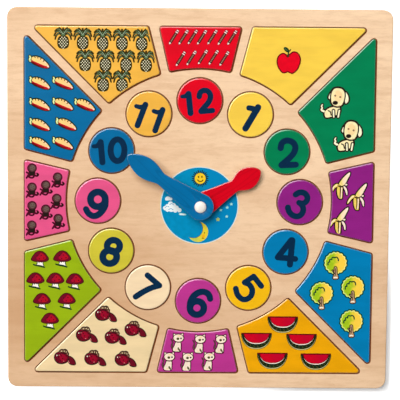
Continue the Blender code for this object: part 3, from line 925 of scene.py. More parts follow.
@dataclass(frozen=True)
class Plate:
    """A flat piece with sanded rims, from its outline in metres about its own origin."""

    outline: Loop
    thickness: float
    rim_width: float
    under_rounding: float
    holes: tuple[Loop, ...] = ()
    steps: int = 4

    def rings(self) -> list[tuple[float, float]]:
        """List the rings of points from the underside up.

        Returns:
            How far in and how high each ring lies.
        """
        low = self.under_rounding
        rings = []
        for step in range(self.steps + 1):
            angle = math.pi / 2 * step / self.steps
            rings.append((low * (1 - math.sin(angle)), low * (1 - math.cos(angle))))
        for depth, drop in RIM_SHARES:
            rings.append((depth * self.rim_width, self.thickness - drop * self.rim_width))
        return rings

    def mesh(self, name: str) -> bpy.types.Mesh:
        """Build the closed plate, which stands on z = 0.

        Args:
            name: The mesh's name.

        Returns:
            The mesh, shaded smoothly.
        """
        work = bmesh.new()
        outline = anticlockwise(self.outline)
        stacked = []
        for depth, height in self.rings():
            stacked.append([work.verts.new((*place, height)) for place in inset(outline, depth)])
        for lower, upper in zip(stacked, stacked[1:]):
            self._wall(work, lower, upper)
        top_holes, low_holes = [], []
        for hole in self.holes:
            ring = anticlockwise(hole)
            low_holes.append([work.verts.new((*place, 0.0)) for place in ring])
            top_holes.append([work.verts.new((*place, self.thickness)) for place in ring])
            self._wall(work, top_holes[-1], low_holes[-1])
        self._cap(work, stacked[-1], top_holes, False)
        self._cap(work, stacked[0], low_holes, True)
        mesh = bpy.data.meshes.new(name)
        work.to_mesh(mesh)
        work.free()
        mesh.shade_smooth()
        return mesh

    @staticmethod
    def _wall(work: bmesh.types.BMesh, lower: list, upper: list) -> None:
        """Join two rings of points with four-sided faces.

        Args:
            work: The mesh that is being built.
            lower: The lower ring.
            upper: The upper ring.
        """
        count = len(lower)
        for index in range(count):
            ahead = (index + 1) % count
            work.faces.new([lower[index], lower[ahead], upper[ahead], upper[index]])

    @staticmethod
    def _cap(work: bmesh.types.BMesh, ring: list, holes: list, under: bool) -> None:
        """Close the area between a ring of points and the rings of the holes.

        Args:
            work: The mesh that is being built.
            ring: The outer ring.
            holes: The holes' rings.
            under: Whether the cap faces down.
        """
        corners = [*ring]
        faces = [list(range(len(ring)))]
        for hole in holes:
            faces.append(list(range(len(corners), len(corners) + len(hole))))
            corners.extend(hole)
        flat = [corner.co.to_2d() / MM for corner in corners]
        _, _, found, origins, _, sources = delaunay_2d_cdt(flat, [], faces, INSIDE, EXACTNESS)
        for face, source in zip(found, sources):
            if source != [0]:
                continue
            around = [corners[origins[number][0]] for number in face]
            work.faces.new(around[::-1] if under else around)


def rims_of(node: str) -> list[Loop]:
    """Find the outlines of a packed plate, where its upright walls end at the top.

    Args:
        node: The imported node's name.

    Returns:
        Its loops in metres, the widest first and holes after it.
    """
    work = bmesh.new()
    work.from_mesh(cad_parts[node].data)
    bmesh.ops.remove_doubles(work, verts=work.verts, dist=SAME_PLACE)
    work.normal_update()
    ahead: dict[int, list] = {}
    for edge in work.edges:
        first, second = edge.verts
        uprights = [abs(face.normal.z) < WALL_RISE for face in edge.link_faces]
        tops = [face.normal.z > WALL_RISE for face in edge.link_faces]
        if any(uprights) and any(tops) and abs(first.co.z - second.co.z) < SAME_PLACE:
            ahead.setdefault(first.index, []).append(second)
            ahead.setdefault(second.index, []).append(first)
    loops = []
    seen: set[int] = set()
    work.verts.ensure_lookup_table()
    for start in sorted(ahead, key=lambda index: (len(ahead[index]) > 1, index)):
        if start in seen:
            continue
        loop, corner = [], work.verts[start]
        while corner is not None and corner.index not in seen:
            seen.add(corner.index)
            loop.append(corner.co.to_2d())
            corner = next((other for other in ahead[corner.index] if other.index not in seen), None)
        loops.append(anticlockwise(loop))
    work.free()
    loops.sort(key=lambda loop: -max(place.x for place in loop) + min(place.x for place in loop))
    return loops


def refined(loop: Loop, longest: float = 9 * MM, steps: int = 3) -> Loop:
    """Put more points on a loop's short steps, which are its curves, and leave its straight sides.

    Args:
        loop: The outline in metres.
        longest: Steps longer than this are left alone.
        steps: How many steps each short one becomes.

    Returns:
        The finer outline.
    """
    count = len(loop)
    result = []
    for index, place in enumerate(loop):
        result.append(place)
        before, after, later = loop[index - 1], loop[(index + 1) % count], loop[(index + 2) % count]
        span = (after - place).length
        if span > longest or (place - before).length > 3 * span or (later - after).length > 3 * span:
            continue
        leaving = (after - before).normalized() * span
        coming = (later - place).normalized() * span
        for step in range(1, steps):
            t = step / steps
            start_share = 2 * t ** 3 - 3 * t ** 2 + 1
            leaving_share = t ** 3 - 2 * t ** 2 + t
            coming_share = t ** 3 - t ** 2
            result.append(
                place * start_share
                + leaving * leaving_share
                + after * (1 - start_share)
                + coming * coming_share
            )
    return result


def lathed(name: str, profile: Sequence[Point], segments: int) -> bpy.types.Mesh:
    """Turn a profile about the Z axis.

    Args:
        name: The mesh's name.
        profile: Radius and height of each ring, from the axis outwards, with the face on its left.
        segments: How many steps the turn has.

    Returns:
        The mesh, shaded smoothly.
    """
    work = bmesh.new()
    rings = []
    for radius, height in profile:
        if radius < ON_AXIS:
            rings.append([work.verts.new((0.0, 0.0, height))])
            continue
        ring = []
        for step in range(segments):
            angle = math.tau * step / segments
            ring.append(work.verts.new((radius * math.cos(angle), radius * math.sin(angle), height)))
        rings.append(ring)
    for upper, lower in zip(rings, rings[1:]):
        for step in range(segments):
            ahead = (step + 1) % segments
            if len(upper) == 1:
                around = [upper[0], lower[step], lower[ahead]]
            elif len(lower) == 1:
                around = [upper[step], lower[0], upper[ahead]]
            else:
                around = [upper[step], lower[step], lower[ahead], upper[ahead]]
            work.faces.new(around)
    mesh = bpy.data.meshes.new(name)
    work.to_mesh(mesh)
    work.free()
    mesh.shade_smooth()
    return mesh


def new_piece(name: str, mesh: bpy.types.Mesh, place: Sequence[float], body: str) -> bpy.types.Object:
    """Put a mesh in the scene as a piece that rides on a body.

    Args:
        name: The piece's name.
        mesh: Its mesh.
        place: Its origin in metres.
        body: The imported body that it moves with.

    Returns:
        The new object.
    """
    piece = bpy.data.objects.new(name, mesh)
    bpy.context.scene.collection.objects.link(piece)
    piece.location = place
    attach(piece, body)
    LOG.info("%s rides on %s", name, body)
    return piece


def even_shading(piece: bpy.types.Object) -> None:
    """Keep a plate's flat faces flat while its rounded rims shade smoothly.

    Args:
        piece: The plate.
    """
    weighted = piece.modifiers.new("even_shading", "WEIGHTED_NORMAL")
    weighted.weight = 100
    weighted.keep_sharp = True


# Sub-assemblies


@dataclass
class Boards:
    """The two plywood boards, which stay as packed, and the glue line between them."""

    inset_depth: float = 0.0004
    glue_width: float = 0.004
    glue_rounding: float = 0.00002
    ply_count: int = 5
    corner_radius: float = 0.0075
    corner_steps: int = 8
    glue: Tint = Tint(120, 84, 50)

    def build(self) -> None:
        """Dress both boards and lay the glue between them."""
        low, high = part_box("base_board")
        half = high.x
        top_low, top_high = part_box("top_board")
        plies = Plies(top_high.z - low.z, self.ply_count)
        wood = BirchFinish("birch_plywood", plies, half).material()
        for node in ("base_board", "top_board"):
            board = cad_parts[node]
            board.data.materials.clear()
            board.data.materials.append(wood)
            LOG.info("%s dressed in birch plywood", node)
        outer = [place * ((half - self.inset_depth) / half) for place in self._square(half)]
        inner = [place * ((half - self.glue_width) / half) for place in self._square(half)]
        rounding = self.glue_rounding
        seam = Plate(outer, top_low.z - high.z, rounding, rounding, (inner,), steps=1)
        piece = new_piece("glue_line", seam.mesh("glue_line"), (0, 0, high.z), "board")
        piece.data.materials.append(InkFinish("dried_glue", self.glue).material())

    def _square(self, half: float) -> Loop:
        """Draw the board's square with its round corners.

        Args:
            half: Half its side in metres.

        Returns:
            The loop, anticlockwise.
        """
        radius = self.corner_radius
        corner = Vector((half - radius, half - radius))
        loop = []
        for quarter in range(4):
            for step in range(self.corner_steps + 1):
                angle = math.pi / 2 * step / self.corner_steps
                place = corner + Vector((math.cos(angle), math.sin(angle))) * radius
                loop.append(Matrix.Rotation(math.pi / 2 * quarter, 2) @ place)
        return loop


@dataclass
class ScorchedRims:
    """Brown lines round every cut-out on the top board: scorch that the cutter left and painted shade beside
    the gap, widened towards the lower right as painted shadow of the raised pieces.
    """

    clearance: float = 0.4
    gap: float = 0.02
    width: float = 0.66
    # How far the line shifts towards the lower right, in millimetres: painted shadow of the raised pieces
    lean: Point = (0.34, -0.28)
    disc_share: float = 0.4
    burn: Tint = Tint(112, 52, 16)
    fade: Tint = Tint(128, 68, 28)

    def build(self) -> None:
        """Lay a thin line round each cut-out, wider towards the lower right, where the extra width is painted
        shadow.
        """
        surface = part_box("top_board")[1].z
        scorch = InkFinish("scorch_and_painted_shadow", self.burn, self.fade).material()
        for kind, share in (("number_disc", self.disc_share), ("picture_piece", 1.0)):
            # Painted shadow: the line's outer edge moves towards the lower right, less for the discs, where
            # the raised pieces cast their shadow
            lean = Vector(self.lean) * share
            for hour in range(1, HOURS + 1):
                node = f"{kind}_{hour:02d}"
                low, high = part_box(node)
                middle = ((low + high) / 2).to_2d()
                outline = [(place - middle) / MM for place in refined(rims_of(node)[0])]
                sketch = Sketch()
                edge = inset(outline, -self.clearance - self.gap)
                wide = [place + lean for place in inset(outline, -self.clearance - self.width)]
                # The ink of scorch and painted shadow takes this ink's place below
                sketch.fill(Ink.DARK, wide, cuts=[edge])
                mesh = sketch.mesh(f"{node}_rim")
                mesh.materials.clear()
                mesh.materials.append(scorch)
                new_piece(f"{node}_rim", mesh, (*middle, surface), "board")


@dataclass
class NumberDiscs:
    """Twelve painted discs with their numerals."""

    rim_width: float = 0.00095
    under_rounding: float = 0.0004
    segments: int = 96
    spread: float = 0.42
    print_margin: float = 1.0
    margin_segments: int = 48
    bowl_segments: int = 32
    numerals: ClassVar[dict[int, tuple]] = {
        1: (
            (((5.9, 5.8), (-3.7, -10.8)), 2.1, 2.1),
            (((-1.3, 5.3), (1.6, 4.7), (5.0, 3.4)), 1.65, 1.9),
        ),
        2: (
            (((-5.0, 3.0), (-4.3, 6.4), (-2.1, 8.4), (0.8, 8.9), (4.6, 7.4), (6.5, 4.0), (5.5, -0.5),
              (2.1, -4.7), (-1.7, -8.1), (-4.2, -10.3)), 2.05, 2.0),
            (((-4.2, -10.5), (7.1, -10.0)), 2.05, 2.0),
        ),
        3: (
            (((-3.3, 6.0), (-1.1, 7.4), (1.6, 7.8), (4.5, 6.5), (6.0, 3.6), (5.1, 0.6), (2.2, -1.0),
              (-0.5, -0.4)), 1.95, 1.9),
            (((0.3, -0.8), (2.1, -2.8), (2.9, -6.0), (1.5, -9.6), (-1.9, -11.3), (-5.7, -10.2),
              (-8.3, -7.3), (-9.2, -4.2)), 1.9, 1.95),
        ),
        4: (
            (((5.3, 9.3), (3.7, -10.1)), 2.0, 2.0),
            (((4.4, 9.4), (-6.0, -4.3)), 1.95, 1.95),
            (((-6.0, -4.4), (7.8, -5.5)), 1.9, 1.9),
        ),
        5: (
            (((10.4, 1.6), (4.2, 9.3)), 1.8, 1.8),
            (((4.2, 9.3), (-2.9, 4.5)), 1.8, 1.8),
            (((-2.9, 4.5), (0.9, 2.6), (3.2, -1.3), (2.5, -5.9), (-0.8, -8.8), (-4.6, -8.9),
              (-8.3, -5.5), (-9.8, -0.5)), 1.85, 1.85),
        ),
        6: (
            (((9.7, 1.7), (8.9, 4.5), (6.8, 6.6), (3.5, 7.4), (-0.3, 6.3), (-3.6, 3.5), (-5.7, -0.8),
              (-6.2, -5.2)), 2.0, 2.3),
        ),
        7: (
            (((-0.3, 9.7), (9.2, 1.5)), 1.85, 1.85),
            (((9.2, 1.5), (3.8, 0.0), (-0.3, -1.8), (-3.7, -3.7), (-7.0, -5.8), (-9.5, -7.5)), 1.85, 1.95),
        ),
        8: (),
        9: (
            (((5.9, 0.0), (5.6, -3.9), (3.6, -7.7), (0.6, -10.9), (-3.2, -12.1), (-6.9, -10.3),
              (-9.2, -6.7)), 2.3, 2.0),
        ),
        10: (
            (((-8.5, 6.6), (-7.0, -9.3)), 1.95, 1.95),
            (((-14.0, 3.2), (-11.4, 3.6), (-9.0, 5.9)), 1.15, 1.6),
        ),
        11: (
            (((-2.7, 7.2), (-8.8, -9.1)), 1.85, 1.85),
            (((-9.8, 6.0), (-7.0, 5.2), (-3.6, 5.6)), 1.25, 1.6),
            (((10.7, 3.2), (5.0, -13.0)), 1.85, 1.85),
            (((3.8, 2.2), (6.6, 1.3), (9.8, 1.6)), 1.25, 1.6),
        ),
        12: (
            (((-8.8, 5.3), (-7.1, -9.8)), 1.95, 1.95),
            (((-13.8, 3.1), (-11.4, 3.5), (-9.3, 4.9)), 1.05, 1.6),
            (((-0.5, 3.2), (0.2, 6.0), (1.9, 7.6), (4.3, 8.0), (6.8, 6.9), (8.3, 4.0), (7.8, 0.7),
              (6.0, -2.3), (3.1, -5.6), (1.0, -8.2)), 1.8, 1.8),
            (((1.0, -8.4), (10.0, -7.6)), 1.75, 1.7),
        ),
    }
    # Closed bowls of the numerals: middle across and along, half width and height, half the line
    bowls: ClassVar[dict[int, tuple]] = {
        6: ((-0.7, -5.6, 5.5, 5.4, 2.25),),
        8: ((1.8, 3.9, 5.0, 4.6, 2.2), (-1.1, -4.9, 5.5, 5.3, 2.3)),
        9: ((0.1, 1.1, 5.8, 5.8, 2.3),),
        10: ((4.7, 0.3, 5.4, 8.5, 1.95),),
    }

    def build(self) -> None:
        """Make every disc and its numeral."""
        plies = Plies(self._thickness(), PIECE_PLIES)
        for hour in range(1, HOURS + 1):
            node = f"number_disc_{hour:02d}"
            low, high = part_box(node)
            radius = (high.x - low.x) / 2
            loop = ellipse(0, 0, radius, count=self.segments)
            plate = Plate(loop, high.z - low.z, self.rim_width, self.under_rounding)
            middle = (low + high) / 2
            name, place = f"painted_disc_{hour:02d}", (middle.x, middle.y, low.z)
            disc = new_piece(name, plate.mesh(node), place, f"{node}_body")
            paint = DISC_PAINTS[hour - 1]
            disc.data.materials.append(paint.material(plies))
            even_shading(disc)
            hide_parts(node)
            name, place = f"numeral_{hour:02d}", (middle.x, middle.y, high.z)
            face = ellipse(0, 0, radius / MM, count=self.margin_segments)
            numeral = self.numeral(hour).mesh(name, inset(face, self.print_margin))
            new_piece(name, numeral, place, f"{node}_body")

    @staticmethod
    def _thickness() -> float:
        """Return how thick a disc is."""
        low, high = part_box("number_disc_01")
        return high.z - low.z

    def numeral(self, hour: int) -> Sketch:
        """Draw one numeral about its disc's middle.

        Args:
            hour: The number.

        Returns:
            The drawing.
        """
        loops = []
        for shape, half, end_half in self.numerals[hour]:
            loops.extend(stroke(shape, half + self.spread, end_half + self.spread))
        for x, y, wide, high, half in self.bowls.get(hour, ()):
            bowl = ellipse(x, y, wide, high, count=self.bowl_segments)
            loops.extend(ribbon(bowl, half + self.spread, closed=True))
        sketch = Sketch()
        sketch.fill(Ink.NAVY, *loops)
        return sketch


@dataclass(frozen=True)
class Motif(ABC):
    """A small counting picture and the places where it is printed, in millimetres."""

    hour: int
    places: Shape

    @abstractmethod
    def draw(self, sketch: Sketch) -> None:
        """Add the picture's layers to a sketch about its own middle.

        Args:
            sketch: The drawing that takes the layers.
        """

    def sketch(self) -> Sketch:
        """Make the finished drawing.

        Returns:
            The picture's layers.
        """
        sketch = Sketch()
        self.draw(sketch)
        return sketch

    def name(self) -> str:
        """Return the picture's plain name."""
        return type(self).__name__.lower()


class Apple(Motif):
    """A red apple with a leaf."""

    body: ClassVar[Shape] = (
        (-0.8, 5.1), (-4.4, 6.7), (-7.9, 4.5), (-9.0, 0.3), (-7.9, -4.2), (-5.2, -7.7), (-2.9, -8.3),
        (-0.8, -7.4), (1.4, -8.3), (3.2, -8.6), (6.4, -6.0), (8.6, -1.2), (8.9, 3.0), (6.9, 6.9),
        (3.6, 7.9), (1.2, 6.4),
    )

    def draw(self, sketch: Sketch) -> None:
        """Draw the rim, the fruit, its stalk and the leaf.

        Args:
            sketch: The drawing that takes the layers.
        """
        body = smooth(self.body)
        sketch.fill(Ink.MAROON, body, *ribbon(body, 0.55, closed=True))
        sketch.fill(Ink.RED, inset(body, 0.45))
        sketch.fill(Ink.MAROON, smooth(((-3.0, 5.4), (-0.8, 3.6), (1.8, 5.6), (0.2, 4.6), (-1.2, 4.6))))
        sketch.fill(
            Ink.LEAF, *stroke(((-0.6, 4.6), (-0.3, 7.4), (1.4, 9.8)), 0.65, 0.4),
            smooth(((-0.4, 7.6), (-2.2, 8.0), (-4.1, 10.2), (-3.3, 11.7), (-1.0, 11.0), (0.2, 9.0))),
        )
        sketch.fill(Ink.SAGE, *stroke(((-3.0, 10.4), (-1.2, 8.9)), 0.2))


class Puppy(Motif):
    """A sitting puppy with hanging ears."""

    head: ClassVar[Shape] = (
        (2.0, 11.6), (5.6, 10.8), (7.7, 8.0), (7.8, 3.6), (6.2, -1.3), (3.6, -3.3), (0.4, -3.2),
        (-2.4, -0.8), (-3.2, 3.0), (-2.7, 8.0), (-0.8, 10.8),
    )
    right_ear: ClassVar[Shape] = ((8.4, 8.2), (10.4, 5.2), (10.7, 1.4), (8.9, -0.7), (7.9, 0.8), (7.4, 6.4))
    left_ear: ClassVar[Shape] = ((-1.6, 9.8), (-3.8, 7.0), (-5.0, 4.2), (-4.2, 2.6), (-2.8, 3.8), (-2.0, 7.4))
    body: ClassVar[Shape] = (
        (-2.6, -3.6), (-6.4, -5.6), (-8.0, -8.4), (-7.0, -11.6), (-3.6, -11.6), (0.4, -10.4), (3.8, -8.2),
        (4.4, -5.0), (2.6, -3.2),
    )
    legs: ClassVar[Shapes] = (((-0.9, -6.4), (-0.6, -11.2)), ((3.7, -6.2), (2.9, -11.2)))
    tail: ClassVar[Shape] = ((-8.4, -6.9), (-10.3, -5.8), (-9.7, -4.3), (-10.3, -3.0), (-9.6, -1.7))

    def draw(self, sketch: Sketch) -> None:
        """Draw the outline, then the coat and the face.

        Args:
            sketch: The drawing that takes the layers.
        """
        head, body = smooth(self.head), smooth(self.body)
        ears = [smooth(self.right_ear), smooth(self.left_ear)]
        edges = outlined((head, body, *ears), 1.1)
        thick = strokes(self.legs, 1.5)
        sketch.fill(Ink.DARK, head, body, *ears, *edges, *thick, *stroke(self.tail, 1.7, 1.3))
        sketch.fill(Ink.CREAM, inset(body, 0.2))
        sketch.fill(Ink.STRAW, *stroke(self.tail, 0.8, 0.4), *(inset(ear, 0.1) for ear in ears))
        sketch.fill(Ink.DARK, *thick, *stroke(((-5.0, -6.4), (-3.4, -7.2), (-2.6, -9.8)), 0.45))
        sketch.fill(Ink.STRAW, *strokes(self.legs, 0.6))
        sketch.fill(Ink.DARK, head, *ribbon(head, 0.6, closed=True), ellipse(1.2, -11.0, 0.9, 0.8))
        sketch.fill(Ink.CREAM, inset(head, 0.35))
        sketch.fill(Ink.PEACH, ellipse(2.6, 5.0, 3.2, 4.4))
        chin = stroke(((-1.0, -2.2), (1.6, -2.9), (4.2, -2.4)), 0.2)
        sketch.fill(Ink.HUSK, ellipse(0.3, 5.4, 0.75), ellipse(4.2, 4.3, 0.75), *chin)
        sketch.fill(Ink.DARK, ellipse(0.4, -0.2, 2.1, 1.6))


class Banana(Motif):
    """A half-peeled banana."""

    flesh: ClassVar[Shape] = (
        (5.9, 10.9), (4.2, 10.3), (1.5, 7.8), (-1.0, 4.8), (-2.8, 1.8), (-2.0, 0.6), (0.2, -0.1),
        (2.2, 1.6), (4.2, 5.4), (5.8, 8.9),
    )
    left_peel: ClassVar[Shape] = (
        (-2.0, 0.5), (-4.4, 1.8), (-6.8, 0.3), (-8.8, -3.2), (-9.1, -5.4), (-7.4, -4.0), (-5.4, -1.4),
        (-2.6, -0.1),
    )
    stem: ClassVar[Shape] = (
        (-4.0, -1.0), (-4.1, -5.4), (-2.8, -9.3), (-1.2, -10.1), (0.0, -9.5), (0.2, -4.6), (0.2, -0.8),
        (-1.8, -0.1),
    )
    right_peel: ClassVar[Shape] = (
        (0.9, -0.2), (2.3, -0.6), (3.8, -3.2), (4.0, -6.8), (3.2, -6.6), (2.4, -3.9), (1.2, -1.6),
    )
    far_peel: ClassVar[Shape] = ((1.9, 1.2), (3.2, 1.8), (3.9, 1.1), (2.9, 0.4))

    def draw(self, sketch: Sketch) -> None:
        """Draw the outline, the flesh and the strips of peel.

        Args:
            sketch: The drawing that takes the layers.
        """
        flesh, stem, far = smooth(self.flesh), smooth(self.stem), smooth(self.far_peel)
        left, right = smooth(self.left_peel), smooth(self.right_peel)
        parts = (flesh, stem, left, right, far)
        sketch.fill(Ink.DARK, *parts, *outlined(parts, 0.85))
        sketch.fill(Ink.FLESH, inset(flesh, 0.2))
        sketch.fill(Ink.PEEL, inset(stem, 0.1), inset(left, 0.1))
        sketch.fill(Ink.BLUSHED, right, far, *stroke(((-0.6, -1.6), (-0.5, -5.0), (-0.9, -9.0)), 0.4))
        shade = stroke(((-1.5, -1.0), (-1.6, -5.4), (-1.6, -9.0)), 0.42, 0.3)
        sketch.fill(Ink.DARK, *stroke(((-3.4, 0.2), (-1.2, -0.7), (1.0, 0.3)), 0.42), *shade)
        gleam = stroke(((-4.4, 0.9), (-6.6, -0.9), (-8.4, -4.2)), 0.3)
        sketch.fill(Ink.MILK, *gleam, ellipse(5.2, 9.6, 0.5, 0.8, -30.0))


class Tree(Motif):
    """A round leafy tree on a short trunk."""

    bumps: ClassVar[int] = 16
    crown: ClassVar[float] = 8.5
    swell: ClassVar[float] = 0.7
    bump_steps: ClassVar[int] = 6
    trunk: ClassVar[Shape] = (
        (-0.8, -3.6), (0.8, -3.6), (1.2, -8.0), (2.2, -12.3), (-1.7, -12.5), (-1.0, -8.6), (-2.6, -5.6),
        (-0.9, -6.6),
    )
    curls: ClassVar[Shapes] = (
        ((-6.0, -1.6), (-5.8, 0.4), (-4.6, 0.8)), ((-4.8, 0.6), (-4.6, 2.6), (-3.0, 2.8)),
        ((-3.2, 2.6), (-2.6, 4.4), (-0.6, 4.2)), ((-0.8, 4.2), (0.8, 4.6), (2.0, 3.2), (2.2, 1.8)),
    )

    def outline(self, shrink: float) -> Loop:
        """Draw the crown's scalloped outline.

        Args:
            shrink: How much smaller it is than the crown.

        Returns:
            The loop, anticlockwise.
        """
        count = self.bumps * self.bump_steps
        loop = []
        for step in range(count):
            angle = math.tau * step / count
            radius = self.crown - shrink + self.swell * abs(math.sin(angle * self.bumps / 2))
            loop.append(Vector((radius * math.cos(angle), radius * math.sin(angle))))
        return loop

    def draw(self, sketch: Sketch) -> None:
        """Draw the crown with its curls, then the trunk.

        Args:
            sketch: The drawing that takes the layers.
        """
        trunk = smooth(self.trunk)
        sketch.fill(Ink.FOREST, self.outline(-0.75))
        sketch.fill(Ink.LIME_RIM, self.outline(0.3))
        sketch.fill(Ink.CROWN, self.outline(1.15))
        sketch.fill(Ink.FOREST, *strokes(self.curls, 0.5))
        sketch.fill(Ink.DARK, trunk, *ribbon(trunk, 0.62, closed=True))
        sketch.fill(Ink.BARK, inset(trunk, 0.05))
        cracks = (((-0.1, -4.4), (0.2, -8.0), (-0.3, -10.6)), ((-1.4, -6.6), (-0.6, -8.6)))
        sketch.fill(Ink.DARK, *strokes(cracks, 0.3))
        sketch.fill(Ink.MILK, *stroke(((-1.1, -11.8), (0.2, -11.4), (1.4, -11.8)), 0.45))


class Melon(Motif):
    """A slice of watermelon with its flat side up."""

    half_width: ClassVar[float] = 12.0
    depth: ClassVar[float] = 12.8
    steps: ClassVar[int] = 32
    fullness: ClassVar[float] = 0.86
    stripe_pitch: ClassVar[float] = 17.0
    stripe_middle: ClassVar[float] = -85.0
    stripe_ends: ClassVar[Point] = (0.80, 0.90)
    stripe_lean: ClassVar[float] = 0.06

    def bowl(self, wide: float, deep: float, top: float) -> Loop:
        """Return half an ellipse that hangs from a level.

        Args:
            wide: Half its width.
            deep: How far it reaches below the level.
            top: The level.

        Returns:
            The loop, with full cheeks.
        """
        loop = []
        for step in range(self.steps + 1):
            angle = math.pi + math.pi * step / self.steps
            reach = math.copysign(abs(math.cos(angle)) ** self.fullness, math.cos(angle))
            loop.append(Vector((wide * reach, top + deep * math.sin(angle))))
        return loop

    def draw(self, sketch: Sketch) -> None:
        """Draw the rind with its stripes, its pale line, the flesh and the top edge.

        Args:
            sketch: The drawing that takes the layers.
        """
        top = self.depth / 2
        wide, deep = self.half_width, self.depth
        rind = self.bowl(wide, deep, top)
        sketch.fill(Ink.DARK, rind, *ribbon(rind, 0.25, closed=True))
        sketch.fill(Ink.PALE_RIND, self.bowl(wide - 0.3, deep - 0.25, top - 0.2))
        sketch.fill(Ink.RIND, self.bowl(wide - 0.3, deep - 0.75, top))
        stripes = []
        for step in range(-3, 4):
            turn = math.radians(self.stripe_middle + self.stripe_pitch * step)
            stripe = []
            for share, angle in zip(self.stripe_ends, (turn, turn + self.stripe_lean)):
                across, up = share * wide * math.cos(angle), top + share * deep * math.sin(angle)
                stripe.append(Vector((across, up)))
            stripes.extend(ribbon(stripe, 0.3))
        sketch.fill(Ink.MOSS, *stripes)
        sketch.fill(Ink.MILK, self.bowl(wide - 1.9, deep - 4.5, top - 0.4))
        sketch.fill(Ink.MAROON, self.bowl(wide - 1.7, deep - 4.7, top))
        sketch.fill(Ink.CRIMSON, self.bowl(wide - 2.4, deep - 5.3, top - 0.3))
        sketch.fill(Ink.MAROON, *stroke(((0.5 - wide, top - 0.2), (wide - 0.5, top - 0.2)), 0.5))


class Kitten(Motif):
    """A small sitting kitten with its tail up."""

    body: ClassVar[Shape] = (
        (-1.6, -3.0), (-3.0, -6.0), (-4.3, -9.0), (-3.6, -10.7), (-0.8, -11.0), (1.6, -10.7),
        (2.0, -8.0), (1.7, -3.4),
    )
    tail: ClassVar[Shape] = ((-4.0, -9.0), (-5.2, -6.6), (-4.4, -3.6), (-5.6, -1.0))
    ears: ClassVar[Shapes] = (
        ((-4.0, 0.6), (-3.9, 3.9), (-0.8, 2.8)), ((1.2, 3.0), (3.9, 4.2), (4.1, 0.6)),
    )

    def draw(self, sketch: Sketch) -> None:
        """Draw the tail, the coat, the ears and the face.

        Args:
            sketch: The drawing that takes the layers.
        """
        head, body = ellipse(0.1, 0.0, 4.1, 3.1), smooth(self.body)
        ears = [points_of(ear) for ear in self.ears]
        edges = outlined((head, body), 0.65)
        for ear in ears:
            edges.extend(ribbon([*ear, ear[0]], 0.55))
        sketch.fill(Ink.PLUM, *stroke(self.tail, 0.95, 0.6), head, body, *ears, *edges)
        sketch.fill(Ink.SLATE, *stroke(self.tail, 0.3, 0.2))
        sketch.fill(Ink.FUR, *(inset(ear, 0.3) for ear in ears))
        sketch.fill(Ink.FUR, inset(body, 0.15))
        sketch.fill(Ink.PLUM, *ribbon(ellipse(0.1, -0.2, 4.0, 3.1), 0.5, closed=True))
        sketch.fill(Ink.FUR, ellipse(0.1, 0.0, 3.9, 2.9))
        sketch.fill(Ink.NOSE, ellipse(0.2, -8.7, 0.7, 1.3, 12.0), ellipse(-0.3, -0.6, 1.15, 1.0))
        leg = stroke(((0.9, -9.0), (1.2, -10.6)), 0.35)
        sketch.fill(Ink.DARK, ellipse(2.2, -0.3, 0.7), ellipse(-0.3, -0.9, 0.5), *leg)
        sketch.fill(Ink.PEACH, ellipse(0.6, 1.7, 1.3, 0.6), ellipse(-1.6, -9.6, 0.7, 0.5))


class Berry(Motif):
    """A bunch of ripe berries under its husk."""

    main: ClassVar[Shape] = (
        (-4.4, 3.6), (-2.0, 4.6), (1.6, 4.6), (4.2, 2.6), (5.2, -0.4), (4.2, -3.0), (2.0, -4.4), (-0.6, -4.9),
        (-3.6, -4.2), (-5.8, -1.6), (-5.9, 1.6),
    )
    side: ClassVar[Shape] = (
        (4.6, 1.2), (7.2, 0.4), (9.4, -1.8), (10.6, -4.8), (9.4, -5.8), (6.6, -5.4), (5.0, -3.4), (5.6, -1.6),
    )
    husk: ClassVar[Shape] = (
        (-2.4, 3.8), (-2.0, 5.6), (-0.4, 6.5), (1.0, 6.3), (2.4, 6.6), (3.8, 5.8), (4.2, 4.4),
        (5.0, 3.4), (4.4, 1.8), (1.0, 3.2),
    )
    glow: ClassVar[Shape] = ((-1.6, 2.2), (1.4, 2.4), (3.8, 0.2), (2.8, -2.6), (0.2, -3.0), (-1.8, -1.0))
    specks: ClassVar[Shape] = (
        (-4.6, -1.4), (-3.2, -3.0), (-2.8, 0.4), (-0.6, 1.4), (0.4, -0.6), (-1.6, -2.2),
        (3.2, 1.4), (2.0, 3.0), (3.6, -1.6), (1.2, -3.8),
    )
    seams: ClassVar[Shapes] = (
        ((-4.8, 0.4), (-3.4, 2.2), (-1.4, 3.0)), ((-0.8, 4.0), (1.4, 3.4), (3.6, 3.6)),
        ((0.8, 6.2), (0.8, 4.2)), ((2.3, 6.2), (2.4, 4.0)),
    )

    def draw(self, sketch: Sketch) -> None:
        """Draw the husk, the berries and their highlights.

        Args:
            sketch: The drawing that takes the layers.
        """
        main, side, husk = smooth(self.main), smooth(self.side), smooth(self.husk)
        parts = (main, side, husk)
        sketch.fill(Ink.DARK, *parts, *outlined(parts, 0.45))
        sketch.fill(Ink.HUSK, inset(husk, 0.3))
        sketch.fill(Ink.BERRY, inset(main, 0.3), inset(side, 0.25))
        sketch.fill(Ink.JAM, smooth(self.glow))
        tips = ((-0.4, 5.1, 0.4, 0.3), (1.6, 5.2, 0.4, 0.28), (3.2, 4.6, 0.35, 0.3))
        sketch.fill(Ink.CREAM, *(ellipse(*tip) for tip in tips))
        sketch.fill(Ink.GRAPHITE, *(ellipse(x, y, 0.62, 0.42, 30.0 * x, 12) for x, y in self.specks))
        sketch.fill(Ink.DARK, *strokes(self.seams, 0.3))
        gleam = stroke(((4.9, -2.6), (5.5, -4.2)), 0.25)
        sketch.fill(Ink.GLEAM, ellipse(-2.4, 1.9, 0.3, 0.5), ellipse(1.2, -2.9, 0.5, 0.3), *gleam)
        sketch.fill(Ink.HIGHLIGHT, ellipse(-4.2, 1.7, 0.32, 0.6, -20.0))


